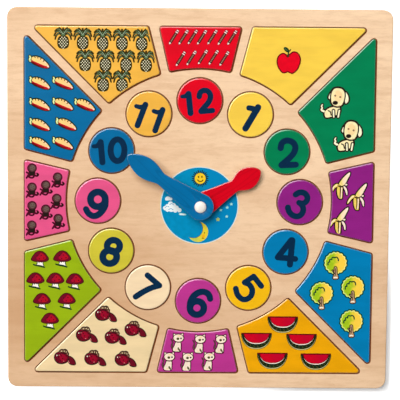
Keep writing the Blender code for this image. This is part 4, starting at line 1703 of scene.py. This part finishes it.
class Mushroom(Motif):
    """A red mushroom on a short white stem."""

    cap: ClassVar[Shape] = (
        (-6.6, -1.6), (-5.2, 1.0), (-3.0, 3.6), (0.0, 4.6), (3.0, 3.7), (5.3, 1.2), (6.6, -1.2), (5.6, -2.6),
        (2.6, -3.4), (-2.6, -3.3), (-5.6, -2.6),
    )
    stem: ClassVar[Shape] = (
        (-1.7, -3.4), (1.8, -3.4), (2.1, -5.2), (2.6, -6.8), (0.4, -6.3), (-2.3, -5.8), (-1.8, -4.8),
    )
    glow: ClassVar[Shape] = (
        (-2.8, -0.4), (-1.0, 1.4), (0.8, 3.4), (3.4, 1.8), (4.8, -0.6), (2.2, -2.2), (-1.8, -1.9),
    )

    def draw(self, sketch: Sketch) -> None:
        """Draw the ground, the stem and the cap.

        Args:
            sketch: The drawing that takes the layers.
        """
        cap, stem = smooth(self.cap), smooth(self.stem)
        ground = stroke(((-5.0, -5.8), (-2.8, -6.6), (0.4, -7.2), (3.6, -8.0)), 0.55)
        sketch.fill(Ink.LEAF, *ground, stem, *ribbon(stem, 0.6, closed=True))
        sketch.fill(Ink.HIGHLIGHT, stem)
        sketch.fill(Ink.GRAPHITE, cap, *ribbon(cap, 0.6, closed=True))
        sketch.fill(Ink.BERRY, inset(cap, 0.1))
        sketch.fill(Ink.CAP, smooth(self.glow))
        spots = (
            (-2.2, 1.0, 0.55), (1.0, 1.5, 0.5), (3.0, -0.6, 0.55), (-0.4, -1.2, 0.5),
            (1.2, -4.0, 0.35), (-0.6, -4.3, 0.25, 0.4),
        )
        sketch.fill(Ink.PLUM, *(ellipse(*spot) for spot in spots))


class Octopus(Motif):
    """A small round octopus with curled arms."""

    arms: ClassVar[Shapes] = (
        ((-0.8, -1.2), (-2.7, -1.8), (-4.2, -1.0)),
        ((-1.0, -2.2), (-2.8, -3.2), (-3.8, -4.8), (-4.4, -5.6)),
        ((0.8, -1.8), (2.2, -3.4), (3.8, -3.9), (4.9, -2.9), (3.9, -1.8)),
        ((0.4, -2.4), (1.5, -4.0), (0.4, -5.3), (-1.2, -5.3)),
        ((-0.4, -2.2), (-2.4, -4.4), (-1.2, -5.3)),
    )
    specks: ClassVar[Shape] = ((-0.6, 3.3), (1.0, 2.9), (0.2, 1.6), (1.3, 1.4), (-0.8, 2.0))

    def draw(self, sketch: Sketch) -> None:
        """Draw the arms, the body and the head.

        Args:
            sketch: The drawing that takes the layers.
        """
        arms = strokes(self.arms, 0.82, 0.66)
        sketch.fill(Ink.PLUM, ellipse(0.0, 2.2, 3.8), *arms, ellipse(-0.1, -1.8, 2.9, 2.1))
        shades = ((0.1, -0.5, 2.3, 1.9), (-0.1, -2.5, 2.1, 1.2), (4.3, -2.9, 0.7))
        sketch.fill(Ink.DARK, *(ellipse(*shade) for shade in shades))
        sketch.fill(Ink.UMBER, ellipse(0.1, 2.3, 3.0, 2.9))
        sketch.fill(Ink.SLATE, ellipse(0.3, 2.4, 2.0, 2.1))
        sketch.fill(Ink.UMBER, *(ellipse(x, y, 0.42, 0.36, count=12) for x, y in self.specks))


class Carrot(Motif):
    """A carrot that points to the lower right."""

    body: ClassVar[Shape] = (
        (-6.0, 2.9), (-4.6, 3.9), (-1.6, 3.8), (2.2, 2.2), (5.5, -0.7), (7.5, -3.5), (6.9, -4.7), (3.4, -4.6),
        (-1.0, -3.2), (-5.2, -1.1), (-6.3, 0.8),
    )
    shadow: ClassVar[Shape] = (
        (-6.2, 1.3), (-4.6, 0.4), (-0.8, -1.2), (3.0, -2.8), (6.2, -3.9), (6.4, -4.6), (3.4, -4.6),
        (-1.0, -3.2), (-5.1, -1.1),
    )
    shoot: ClassVar[Shape] = ((-7.4, 4.0), (-7.0, 2.9), (-7.6, 1.9), (-7.2, 0.4))
    notches: ClassVar[Shapes] = (
        ((-3.8, 4.1), (-3.3, 2.9)), ((-1.2, 4.0), (-1.2, 2.7)),
        ((1.4, 2.9), (0.9, 1.7)), ((3.8, 1.1), (3.0, 0.2)),
    )

    def draw(self, sketch: Sketch) -> None:
        """Draw the shoot, the root, its shaded side and its notches.

        Args:
            sketch: The drawing that takes the layers.
        """
        body = smooth(self.body)
        edge = ribbon(body, 0.85, closed=True)
        sketch.fill(Ink.RIND, body, *edge, *stroke(self.shoot, 1.4, 1.3))
        sketch.fill(Ink.SHOOT, *stroke(self.shoot, 0.62, 0.6))
        sketch.fill(Ink.CARROT, inset(body, 0.1))
        under = stroke(((-6.0, -0.2), (-1.2, -2.9), (3.4, -4.4), (6.4, -4.6)), 0.45)
        sketch.fill(Ink.ROOT, smooth(self.shadow), *under)
        sketch.fill(Ink.MAROON, *stroke(((-5.6, -0.5), (-1.2, -2.9), (3.2, -4.2)), 0.5, 0.3))
        sketch.fill(Ink.RIND, *strokes(self.notches, 0.36))
        gleams = ((6.6, -3.7, 0.8, 0.6, -40.0), (2.6, 1.2, 0.4), (4.6, -0.6, 0.45))
        sketch.fill(Ink.RUBBER, *(ellipse(*gleam) for gleam in gleams))


class Pineapple(Motif):
    """A pineapple with its tuft of leaves."""

    body: ClassVar[Shape] = (
        (-3.0, 4.2), (0.0, 4.7), (3.0, 4.2), (4.3, 1.4), (4.3, -2.0), (3.1, -4.4), (0.0, -5.2), (-3.1, -4.4),
        (-4.3, -2.0), (-4.3, 1.4),
    )
    # Rows of leaves on the right side, from the back to the front; the left side mirrors them
    leaves: ClassVar[tuple[Shapes, ...]] = (
        (((0.2, 4.8), (2.9, 6.6), (5.2, 5.2), (6.2, 2.2)), ((0.3, 6.0), (1.6, 9.4), (3.0, 11.0))),
        (((0.3, 5.6), (3.2, 8.4), (5.7, 7.4), (6.9, 4.9)), ((0.0, 5.4), (0.0, 8.4), (0.2, 10.6))),
        (((0.2, 6.2), (2.5, 9.5), (4.5, 9.9), (6.3, 8.4)), ((0.2, 5.0), (1.4, 6.2), (2.6, 6.4))),
    )
    eye: ClassVar[Point] = (2.08, 1.22)
    eyed: ClassVar[Point] = (4.1, 4.7)
    eyed_drop: ClassVar[float] = 0.2

    def draw(self, sketch: Sketch) -> None:
        """Draw the tuft from back to front, the fruit and its pale eyes.

        Args:
            sketch: The drawing that takes the layers.
        """
        body = smooth(self.body)
        for row in self.leaves:
            both = [tuple((x * side, y) for x, y in leaf) for leaf in row for side in (-1, 1)]
            sketch.fill(Ink.OLIVE, *strokes(both, 0.96, 0.60))
            sketch.fill(Ink.SAGE, *(loop for leaf in both for loop in stroke(leaf[:-1], 0.42, 0.26)))
            sketch.fill(Ink.DEW, *(loop for leaf in both[:2] for loop in stroke(leaf[:2], 0.16, 0.1)))
        sketch.fill(Ink.OLIVE, body, *ribbon(body, 0.15, closed=True))
        eyes = []
        across, along = self.eye
        wide, high = self.eyed
        for row in range(-5, 5):
            for column in range(-3, 4):
                x, y = (column + (row % 2) / 2) * across, row * along
                if (x / wide) ** 2 + ((y + self.eyed_drop) / high) ** 2 < 1:
                    eyes.append(ellipse(x, y, 0.48, 0.41, count=8))
        sketch.fill(Ink.STRAW, *eyes)


class Pencil(Motif):
    """A pencil that points to the lower left."""

    lean: ClassVar[float] = 32.0

    def turned(self, low: float, high: float, low_half: float, high_half: float) -> Loop:
        """Return a stretch of the pencil, leaned to its slant.

        Args:
            low: Where it starts along the pencil.
            high: Where it ends.
            low_half: Half its width at the start.
            high_half: Half its width at the end.

        Returns:
            Its four corners.
        """
        turn = Matrix.Rotation(-math.radians(self.lean), 2)
        flat = points_of(((-low_half, low), (low_half, low), (high_half, high), (-high_half, high)))
        return [turn @ place for place in flat]

    def draw(self, sketch: Sketch) -> None:
        """Draw the outline, the barrel, the point and the rubber.

        Args:
            sketch: The drawing that takes the layers.
        """
        sketch.fill(Ink.GRAPHITE, self.turned(-4.8, 6.4, 1.25, 1.25), self.turned(-6.8, -4.8, 0.5, 1.25))
        sketch.fill(Ink.PENCIL, self.turned(-4.4, 3.4, 0.65, 0.65))
        gleams = (-4.2, -2.7, -1.2, 0.3, 1.8)
        sketch.fill(Ink.SHINE, *(self.turned(low, low + 0.9, 0.24, 0.24) for low in gleams))
        pale = ((-6.5, -5.1, 0.35, 0.8), (3.7, 4.6, 1.0, 1.0), (5.3, 6.1, 0.95, 0.8))
        sketch.fill(Ink.RUBBER, *(self.turned(*stretch) for stretch in pale))


@dataclass
class PicturePieces:
    """Twelve painted picture pieces, each with as many pictures as its hour."""

    rim_width: float = 0.0009
    under_rounding: float = 0.0004
    margin: float = 0.95
    motifs: ClassVar[tuple[Motif, ...]] = (
        Apple(1, ((68.9, 109.2),)),
        Puppy(2, ((105.3, 78.0), (116.2, 52.0))),
        Banana(3, ((112.5, 12.4), (125.7, 3.6), (111.6, -15.3))),
        Tree(4, ((108.3, -48.7), (122.3, -68.0), (97.7, -73.0), (121.7, -95.3))),
        Melon(5, ((67.3, -98.5), (46.7, -111.8), (82.4, -112.4), (59.5, -127.8), (94.0, -128.2))),
        Kitten(6, ((-15.2, -109.7), (2.1, -110.6), (18.6, -110.6), (-22.3, -124.9), (-7.5, -125.1),
                   (9.4, -124.7))),
        Berry(7, ((-74.7, -91.0), (-51.3, -103.0), (-89.7, -107.8), (-67.0, -109.3), (-107.0, -126.0),
                  (-83.0, -126.6), (-59.0, -127.2))),
        Mushroom(8, ((-124.5, -45.7), (-107.0, -45.3), (-128.1, -62.9), (-112.5, -62.9), (-97.1, -63.3),
                     (-123.0, -79.3), (-103.5, -79.1), (-116.7, -95.0))),
        Octopus(9, ((-130.6, 22.5), (-110.6, 15.6), (-130.6, 7.5), (-119.9, 9.3), (-111.3, -1.2),
                    (-130.6, -7.1), (-119.9, -9.8), (-110.2, -17.1), (-130.8, -22.5))),
        Carrot(10, ((-124.7, 108.0), (-124.3, 91.7), (-106.3, 91.7), (-124.3, 75.0), (-106.3, 75.3),
                    (-89.3, 75.0), (-124.3, 59.3), (-103.7, 59.7), (-124.3, 44.7), (-106.3, 44.7))),
        Pineapple(11, ((-106.3, 123.3), (-91.2, 123.0), (-75.8, 122.7), (-60.8, 122.7), (-45.5, 122.5),
                       (-89.3, 106.2), (-73.5, 106.2), (-57.5, 106.2), (-42.0, 106.0), (-75.3, 90.4),
                       (-60.7, 90.4))),
        Pencil(12, ((-20.6, 128.0), (-13.1, 128.0), (-6.0, 128.2), (1.2, 128.0), (9.3, 128.2), (17.3, 128.0),
                    (24.7, 128.0), (-15.2, 111.2), (-6.8, 111.9), (2.0, 112.7), (10.4, 112.5),
                    (18.7, 111.7))),
    )

    def build(self) -> None:
        """Make every picture piece and its prints."""
        for motif in self.motifs:
            self._build_hour(motif)

    def _build_hour(self, motif: Motif) -> None:
        """Make one hour's piece and print its pictures.

        Args:
            motif: The hour's picture and its places.
        """
        node = f"picture_piece_{motif.hour:02d}"
        low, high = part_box(node)
        middle = ((low + high) / 2).to_2d()
        outline = [place - middle for place in refined(rims_of(node)[0])]
        plate = Plate(outline, high.z - low.z, self.rim_width, self.under_rounding)
        name = f"painted_piece_{motif.hour:02d}"
        piece = new_piece(name, plate.mesh(node), (*middle, low.z), f"{node}_body")
        paint = PIECE_PAINTS[motif.hour - 1]
        piece.data.materials.append(paint.material(Plies(high.z - low.z, PIECE_PLIES)))
        even_shading(piece)
        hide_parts(node)
        sketch = motif.sketch()
        shared = sketch.mesh(motif.name())
        edge = inset([(place + middle) / MM for place in outline], self.margin)
        for number, place in enumerate(motif.places, 1):
            local = [corner - Vector(place) for corner in edge]
            area = Area(local)
            whole = all(area.holds(point) for point in sketch.reach())
            name = f"{motif.name()}_print_{number:02d}"
            mesh = shared if whole else sketch.mesh(name, local)
            new_piece(name, mesh, (place[0] * MM, place[1] * MM, high.z), f"{node}_body")


@dataclass
class SkyPrint:
    """The round sky in the middle of the board, with its sun, moon, stars and clouds."""

    middle: Point = (0.5, -4.0)
    radius: float = 30.0
    halo: float = 0.65
    hole: float = 3.7
    sun_place: Point = (0.9, 17.4)
    sun_radius: float = 4.3
    sun_rim: float = 0.3
    ray_count: int = 24
    ray_start: float = 0.7
    ray_reaches: Point = (1.8, 2.3)
    ray_halves: Point = (0.5, 0.36)
    moon_place: Point = (-0.5, -24.9)
    moon_radius: float = 8.1
    bite_place: Point = (-3.6, 2.5)
    bite_radii: Triple = (7.3, 7.65, 8.2)
    stars: Shape = ((17.3, -7.4), (22.4, -5.4), (25.6, -2.7), (22.1, -12.5))
    gold_star: Point = (15.2, -14.9)
    star_reaches: Point = (1.35, 1.9)
    star_waist: float = 0.55
    star_points: int = 5
    sky_segments: int = 144
    moon_segments: int = 64
    sun_segments: int = 48
    hole_segments: int = 32

    def build(self) -> None:
        """Print the sky and everything on it."""
        x, y = self.middle
        pivot_low, pivot_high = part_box("pivot_rivet")
        pivot = (pivot_low + pivot_high) / 2 / MM
        hole = ellipse(pivot.x - x, pivot.y - y, self.hole, count=self.hole_segments)
        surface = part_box("top_board")[1].z
        disc = Sketch()
        for ink, radius in ((Ink.HALO, self.radius + self.halo), (Ink.SKY, self.radius)):
            disc.fill(ink, ellipse(0, 0, radius, count=self.sky_segments), cuts=[hole])
        self._print("sky_print", disc, self.middle, surface)
        level = surface + (Sketch.first + Sketch.step) * MM
        self._print("sun_print", self._sun(), self.sun_place, level)
        self._print("moon_print", self._moon(), self.moon_place, level)
        for number, (place, sketch) in enumerate(self._clouds(), 1):
            self._print(f"cloud_print_{number:02d}", sketch, place, level)
        for number, place in enumerate((*self.stars, self.gold_star), 1):
            sketch = Sketch()
            golden = place == self.gold_star
            sketch.fill(Ink.GOLD_STAR if golden else Ink.STAR, self._star(self.star_reaches[golden]))
            self._print(f"star_print_{number:02d}", sketch, place, level)

    @staticmethod
    def _print(name: str, sketch: Sketch, place: Point, level: float) -> None:
        """Lay one print on the board at a level in metres."""
        new_piece(name, sketch.mesh(name), (place[0] * MM, place[1] * MM, level), "board")

    def _sun(self) -> Sketch:
        """Draw the sun with its short rays and its smile.

        Returns:
            The drawing.
        """
        sketch = Sketch()
        rays = []
        for step in range(self.ray_count):
            turn = Matrix.Rotation(math.tau * step / self.ray_count, 2)
            reach = self.ray_reaches[step % 2]
            ray = [Vector((self.sun_radius + far, 0.0)) for far in (self.ray_start, reach)]
            rays.extend(ribbon([turn @ place for place in ray], *self.ray_halves))
        rim = ellipse(0, 0, self.sun_radius + self.sun_rim, count=self.sun_segments)
        sketch.fill(Ink.RAY, rim, *rays)
        sketch.fill(Ink.SUN, ellipse(0, 0, self.sun_radius, count=self.sun_segments))
        smile = stroke(((-1.9, -1.2), (-1.0, -2.1), (0.2, -2.4), (1.4, -2.1), (2.2, -1.2)), 0.42)
        sketch.fill(Ink.SMILE, *smile, ellipse(-1.3, 1.2, 0.6, 0.85), ellipse(1.4, 1.3, 0.6, 0.85))
        return sketch

    def _moon(self) -> Sketch:
        """Draw the crescent moon with a warm glow on its inner side.

        Returns:
            The drawing.
        """
        sketch = Sketch()
        full = ellipse(0, 0, self.moon_radius, count=self.moon_segments)
        glow = ellipse(4.4, -3.4, 1.2, 2.2, -18.0)
        layers = ((Ink.SMILE, full), (Ink.MOON, full), (Ink.GLOW, glow))
        for (ink, loop), radius in zip(layers, self.bite_radii):
            bite = ellipse(*self.bite_place, radius, radius, count=self.moon_segments)
            sketch.fill(ink, loop, cuts=[bite])
        lips = stroke(((3.4, -5.2), (4.0, -4.9), (4.8, -5.3)), 0.25)
        sketch.fill(Ink.SMILE, ellipse(5.2, -0.8, 0.4, 0.5), *lips)
        return sketch

    @staticmethod
    def _clouds() -> list[tuple[Point, Sketch]]:
        """Draw the clouds.

        Returns:
            Each cloud's place and drawing.
        """
        small, large, wisp = Sketch(), Sketch(), Sketch()
        puffs = ((-0.6, 0.0, 2.1, 1.6), (1.4, -0.4, 1.5, 1.2), (-1.8, -0.5, 1.1))
        small.fill(Ink.CLOUD, *(ellipse(*puff) for puff in puffs))
        puffs = (
            (-5.8, -1.0, 1.7), (-4.0, 0.4, 1.7), (-1.6, 2.4, 1.9), (0.8, 0.9, 2.0), (3.0, -0.8, 1.9),
            (5.4, -2.6, 1.7), (-4.0, -2.3, 1.6), (-1.0, -1.4, 2.6), (2.2, -2.8, 1.7),
        )
        large.fill(Ink.CLOUD, *(ellipse(*puff) for puff in puffs))
        curls = (
            ((-5.6, -0.6), (-4.4, 0.6), (-3.0, 0.2)), ((-2.2, 1.8), (-0.6, 2.6), (0.8, 1.6)),
            ((-3.0, -2.2), (-1.2, -1.4), (0.6, -2.4)),
        )
        large.fill(Ink.SKY, *strokes(curls, 0.2))
        wisp.fill(Ink.STAR, ellipse(-1.3, 0.1, 1.7, 0.9), ellipse(0.9, -0.2, 2.1, 0.8))
        wisp.fill(Ink.CLOUD, ellipse(-0.4, 0.0, 2.2, 0.55))
        return [((-23.6, 1.4), small), ((-20.6, -5.2), large), ((-12.6, -11.0), wisp)]

    def _star(self, reach: float) -> Loop:
        """Draw a star with five points.

        Args:
            reach: How far its points lie from its middle.

        Returns:
            The loop, anticlockwise.
        """
        loop = []
        count = 2 * self.star_points
        for step in range(count):
            angle = math.pi / 2 + math.tau * step / count
            radius = reach if step % 2 == 0 else reach * self.star_waist
            loop.append(Vector((math.cos(angle), math.sin(angle))) * radius)
        return loop


@dataclass
class Hands:
    """The red hour hand and, over it, the blue minute hand."""

    rim_width: float = 0.0006
    under_rounding: float = 0.0003
    hour_lean: float = 30.0
    minute_lean: float = 144.0
    vein_share: float = 0.3
    hole_radius: float = 2.3
    hole_segments: int = 48

    def build(self) -> None:
        """Make both hands."""
        self._hand("hour_hand", Paint.HAND_RED, self.hour_lean)
        self._hand("minute_hand", Paint.HAND_BLUE, self.minute_lean)

    def _hand(self, node: str, paint: Paint, lean: float) -> None:
        """Make one hand from its packed outline and its hole.

        Args:
            node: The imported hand.
            paint: Its paint.
            lean: The direction in degrees that it points in, which its grain follows.
        """
        low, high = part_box(node)
        rivet_low, rivet_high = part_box("pivot_rivet")
        pivot = ((rivet_low + rivet_high) / 2).to_2d()
        loops = rims_of(node)
        outline = [place - pivot for place in refined(loops[0])]
        hole = ellipse(0, 0, self.hole_radius * MM, count=self.hole_segments)
        plate = Plate(outline, high.z - low.z, self.rim_width, self.under_rounding, (hole,))
        hand = new_piece(f"painted_{node}", plate.mesh(node), (*pivot, low.z), f"{node}_body")
        plies = Plies(high.z - low.z, PIECE_PLIES)
        hand.data.materials.append(paint.material(plies, lean, self.vein_share))
        even_shading(hand)
        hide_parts(node)


@dataclass
class Pivot:
    """The white rivet, its cap under the board and the two washers."""

    segments: int = 72
    rim_share: float = 0.2
    head_gap: float = 0.0003
    shank_radius: float = 0.002
    head_bevel: float = 0.0002
    foot_bevel: float = 0.0004
    crown_fullness: float = 0.9
    crown_steps: int = 12
    sharp_angle: float = 40.0
    tint: Tint = Tint(244, 236, 226)

    def build(self) -> None:
        """Turn the rivet about the pivot's axis, and dress the cap and the two washers in white plastic."""
        plastic = PlasticFinish("white_plastic", self.tint).material()
        low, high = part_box("pivot_rivet")
        head = (high.x - low.x) / 2
        hand_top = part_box("minute_hand")[1].z
        seat = hand_top + self.head_gap
        shank = self.shank_radius
        crown = high.z - seat
        profile = [(0.0, high.z)]
        for step in range(1, self.crown_steps + 1):
            angle = math.pi / 2 * step / self.crown_steps
            rise = self.rim_share + (1 - self.rim_share) * math.cos(angle)
            profile.append((head * math.sin(angle) ** self.crown_fullness, seat + crown * rise))
        profile += [(head, seat + self.head_bevel), (head - self.head_bevel, seat), (shank, seat)]
        profile += [(shank, low.z + self.foot_bevel), (shank - self.foot_bevel, low.z), (0.0, low.z)]
        self._turned("rivet", "pivot_rivet", profile, plastic)
        for node in ("rivet_cap", "board_washer", "hand_washer"):
            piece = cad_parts[node]
            piece.data.materials.clear()
            piece.data.materials.append(plastic)
            LOG.info("%s dressed in white plastic", node)

    def _turned(self, name: str, node: str, profile: list[Point], material: Material) -> None:
        """Turn a profile about the pivot's axis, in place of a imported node.

        Args:
            name: The new piece's name.
            node: The node that it replaces.
            profile: Radius and height of each ring in metres.
            material: Its material.
        """
        low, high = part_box(node)
        middle = (low + high) / 2
        mesh = lathed(name, profile, self.segments)
        mesh.set_sharp_from_angle(angle=math.radians(self.sharp_angle))
        mesh.materials.append(material)
        piece = new_piece(name, mesh, (middle.x, middle.y, 0.0), "board")
        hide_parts(node)


@dataclass
class Studio:
    """The pale floor, the soft light from the upper left and the camera above the puzzle."""

    focal_pixels: float = 1940.0
    sensor: float = 36.0
    camera_place: Triple = (-0.0270, 0.1974, 1.5168)
    camera_turn: Triple = (-7.443, -0.989, 0.545)
    key_place: Triple = (-0.52, 0.70, 1.35)
    key_side: float = 1.3
    key_power: float = 17.2
    window: Triple = (-0.643, 0.766, 0.0)
    window_level: float = 4.6
    window_foot: Point = (0.62, 0.72)
    window_head: Point = (0.90, 0.84)
    window_sides: Point = (0.45, 0.75)
    wall_level: float = 0.24
    ceiling_level: float = 0.01
    ceiling_band: Point = (0.84, 0.95)
    floor_radius: float = 2.8
    floor_steps: int = 4
    floor_segments: int = 96
    curve_radius: float = 0.62
    curve_steps: int = 12
    floor_drop: float = 0.0002
    floor_greys: Point = (0.80, 0.83)
    floor_grain: Triple = (0.05, 0.05, 0.05)
    floor_roughness: float = 0.8
    floor_specular: float = 0.1
    # Painted light on the floor: across this band towards the lower right the camera-ray glow drops from the
    # first level to the second, and past this reach from the middle it rises to full, so it whites out the
    # shadow except close to the board's lower right
    shade_band: Point = (0.16, 0.25)
    glow_band: Point = (0.95, 0.25)
    shade_reach: Point = (0.1515, 0.1575)

    def build(self) -> None:
        """Set up the camera, the lights and the floor."""
        self._camera()
        self._lights()
        self._floor()
        bpy.context.scene.view_settings.view_transform = "Standard"

    def _camera(self) -> None:
        """Place the camera at the photograph's view."""
        lens = bpy.data.cameras.new("camera")
        lens.sensor_width = self.sensor
        lens.lens = self.focal_pixels * self.sensor / PHOTO_PIXELS
        camera = bpy.data.objects.new("camera", lens)
        camera.location = self.camera_place
        camera.rotation_euler = Euler([math.radians(angle) for angle in self.camera_turn], "XYZ")
        bpy.context.scene.collection.objects.link(camera)
        bpy.context.scene.camera = camera

    def _lights(self) -> None:
        """Hang the key light and set the even light from all round."""
        key = bpy.data.lights.new("key_light", "AREA")
        key.size = self.key_side
        key.energy = self.key_power
        lamp = bpy.data.objects.new("key_light", key)
        lamp.location = self.key_place
        lamp.rotation_mode = "QUATERNION"
        lamp.rotation_quaternion = (-Vector(self.key_place)).to_track_quat("-Z", "Y")
        bpy.context.scene.collection.objects.link(lamp)
        world = bpy.data.worlds.new("studio")
        graph = Graph.of_world(world)
        heading = graph.place.outputs["Generated"]
        kind = "ShaderNodeVectorMath"
        level = graph.add(kind, {0: heading, 1: (1.0, 1.0, 0.0)}, operation="MULTIPLY")
        compass = graph.add(kind, {0: level.outputs[0]}, operation="NORMALIZE")
        facing = graph.add(kind, {0: compass.outputs[0], 1: self.window}, operation="DOT_PRODUCT")
        height = graph.axis(heading, "Z")
        foot = graph.between(height, *self.window_foot)
        band = graph.sums("MULTIPLY", foot, graph.between(height, *self.window_head))
        wide = graph.between(facing.outputs["Value"], *self.window_sides, 0.0, self.window_level)
        window = graph.sums("MULTIPLY", band, wide)
        walls = graph.between(height, *self.ceiling_band, self.wall_level, self.ceiling_level)
        graph.feed(graph.shader.inputs["Strength"], graph.sums("ADD", window, walls))
        graph.shader.inputs["Color"].default_value = WHITE
        bpy.context.scene.world = world

    def _floor(self) -> None:
        """Lay a white floor that curves up into the backdrop and glows for the camera; the glow is painted
        light that whites out the puzzle's shadow except close to the board's lower right.
        """
        profile = [(self.floor_radius * step / self.floor_steps, 0.0) for step in range(self.floor_steps + 1)]
        for step in range(1, self.curve_steps + 1):
            angle = math.pi / 2 * step / self.curve_steps
            out, up = self.curve_radius * math.sin(angle), self.curve_radius * (1 - math.cos(angle))
            profile.append((self.floor_radius + out, up))
        mesh = lathed("floor", profile, self.floor_segments)
        floor = bpy.data.objects.new("floor", mesh)
        floor.location = (0, 0, -self.floor_drop)
        bpy.context.scene.collection.objects.link(floor)
        floor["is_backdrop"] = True
        graph = Graph.of_material("white_floor")
        grain = graph.noise(graph.stretched(self.floor_grain))
        greys = [(grey, grey, grey, 1.0) for grey in self.floor_greys]
        colour = graph.mixed(graph.between(grain, 0.3, 0.7), *greys)
        path = graph.add("ShaderNodeLightPath")
        seen = graph.sums("MAXIMUM", path.outputs["Is Camera Ray"], path.outputs["Is Glossy Ray"])
        seen = graph.sums("MAXIMUM", seen, path.outputs["Is Transmission Ray"])
        # Painted light: the glow whites out the cast shadow everywhere except close to the board's lower
        # right
        spot = graph.place.outputs["Object"]
        corner = graph.sums("SUBTRACT", graph.axis(spot, "X"), graph.axis(spot, "Y"))
        glow = graph.between(corner, *self.shade_band, *self.glow_band)
        reach = graph.add("ShaderNodeVectorMath", {0: spot}, operation="ABSOLUTE").outputs[0]
        far = graph.sums("MAXIMUM", graph.axis(reach, "X"), graph.axis(reach, "Y"))
        glow = graph.sums("MAXIMUM", glow, graph.between(far, *self.shade_reach, 0.0, self.glow_band[0]))
        graph.feed(graph.shader.inputs["Emission Strength"], graph.sums("MULTIPLY", seen, glow))
        graph.shader.inputs["Emission Color"].default_value = WHITE
        mesh.materials.append(graph.finish(colour, self.floor_roughness, self.floor_specular))


def corners() -> list[list[float]]:
    """Return the shown object's lowest and highest corners as plain lists."""
    return [list(corner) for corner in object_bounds()]


def main() -> None:
    """Build the clock puzzle's looks, one sub-assembly after another."""
    logging.basicConfig(level=logging.INFO, format="%(message)s")
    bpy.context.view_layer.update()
    for assembly in (Boards, ScorchedRims, SkyPrint, NumberDiscs, PicturePieces, Hands, Pivot, Studio):
        assembly().build()
        LOG.info("%s done", assembly.__name__)
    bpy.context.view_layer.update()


if __name__ == "__main__":
    main()
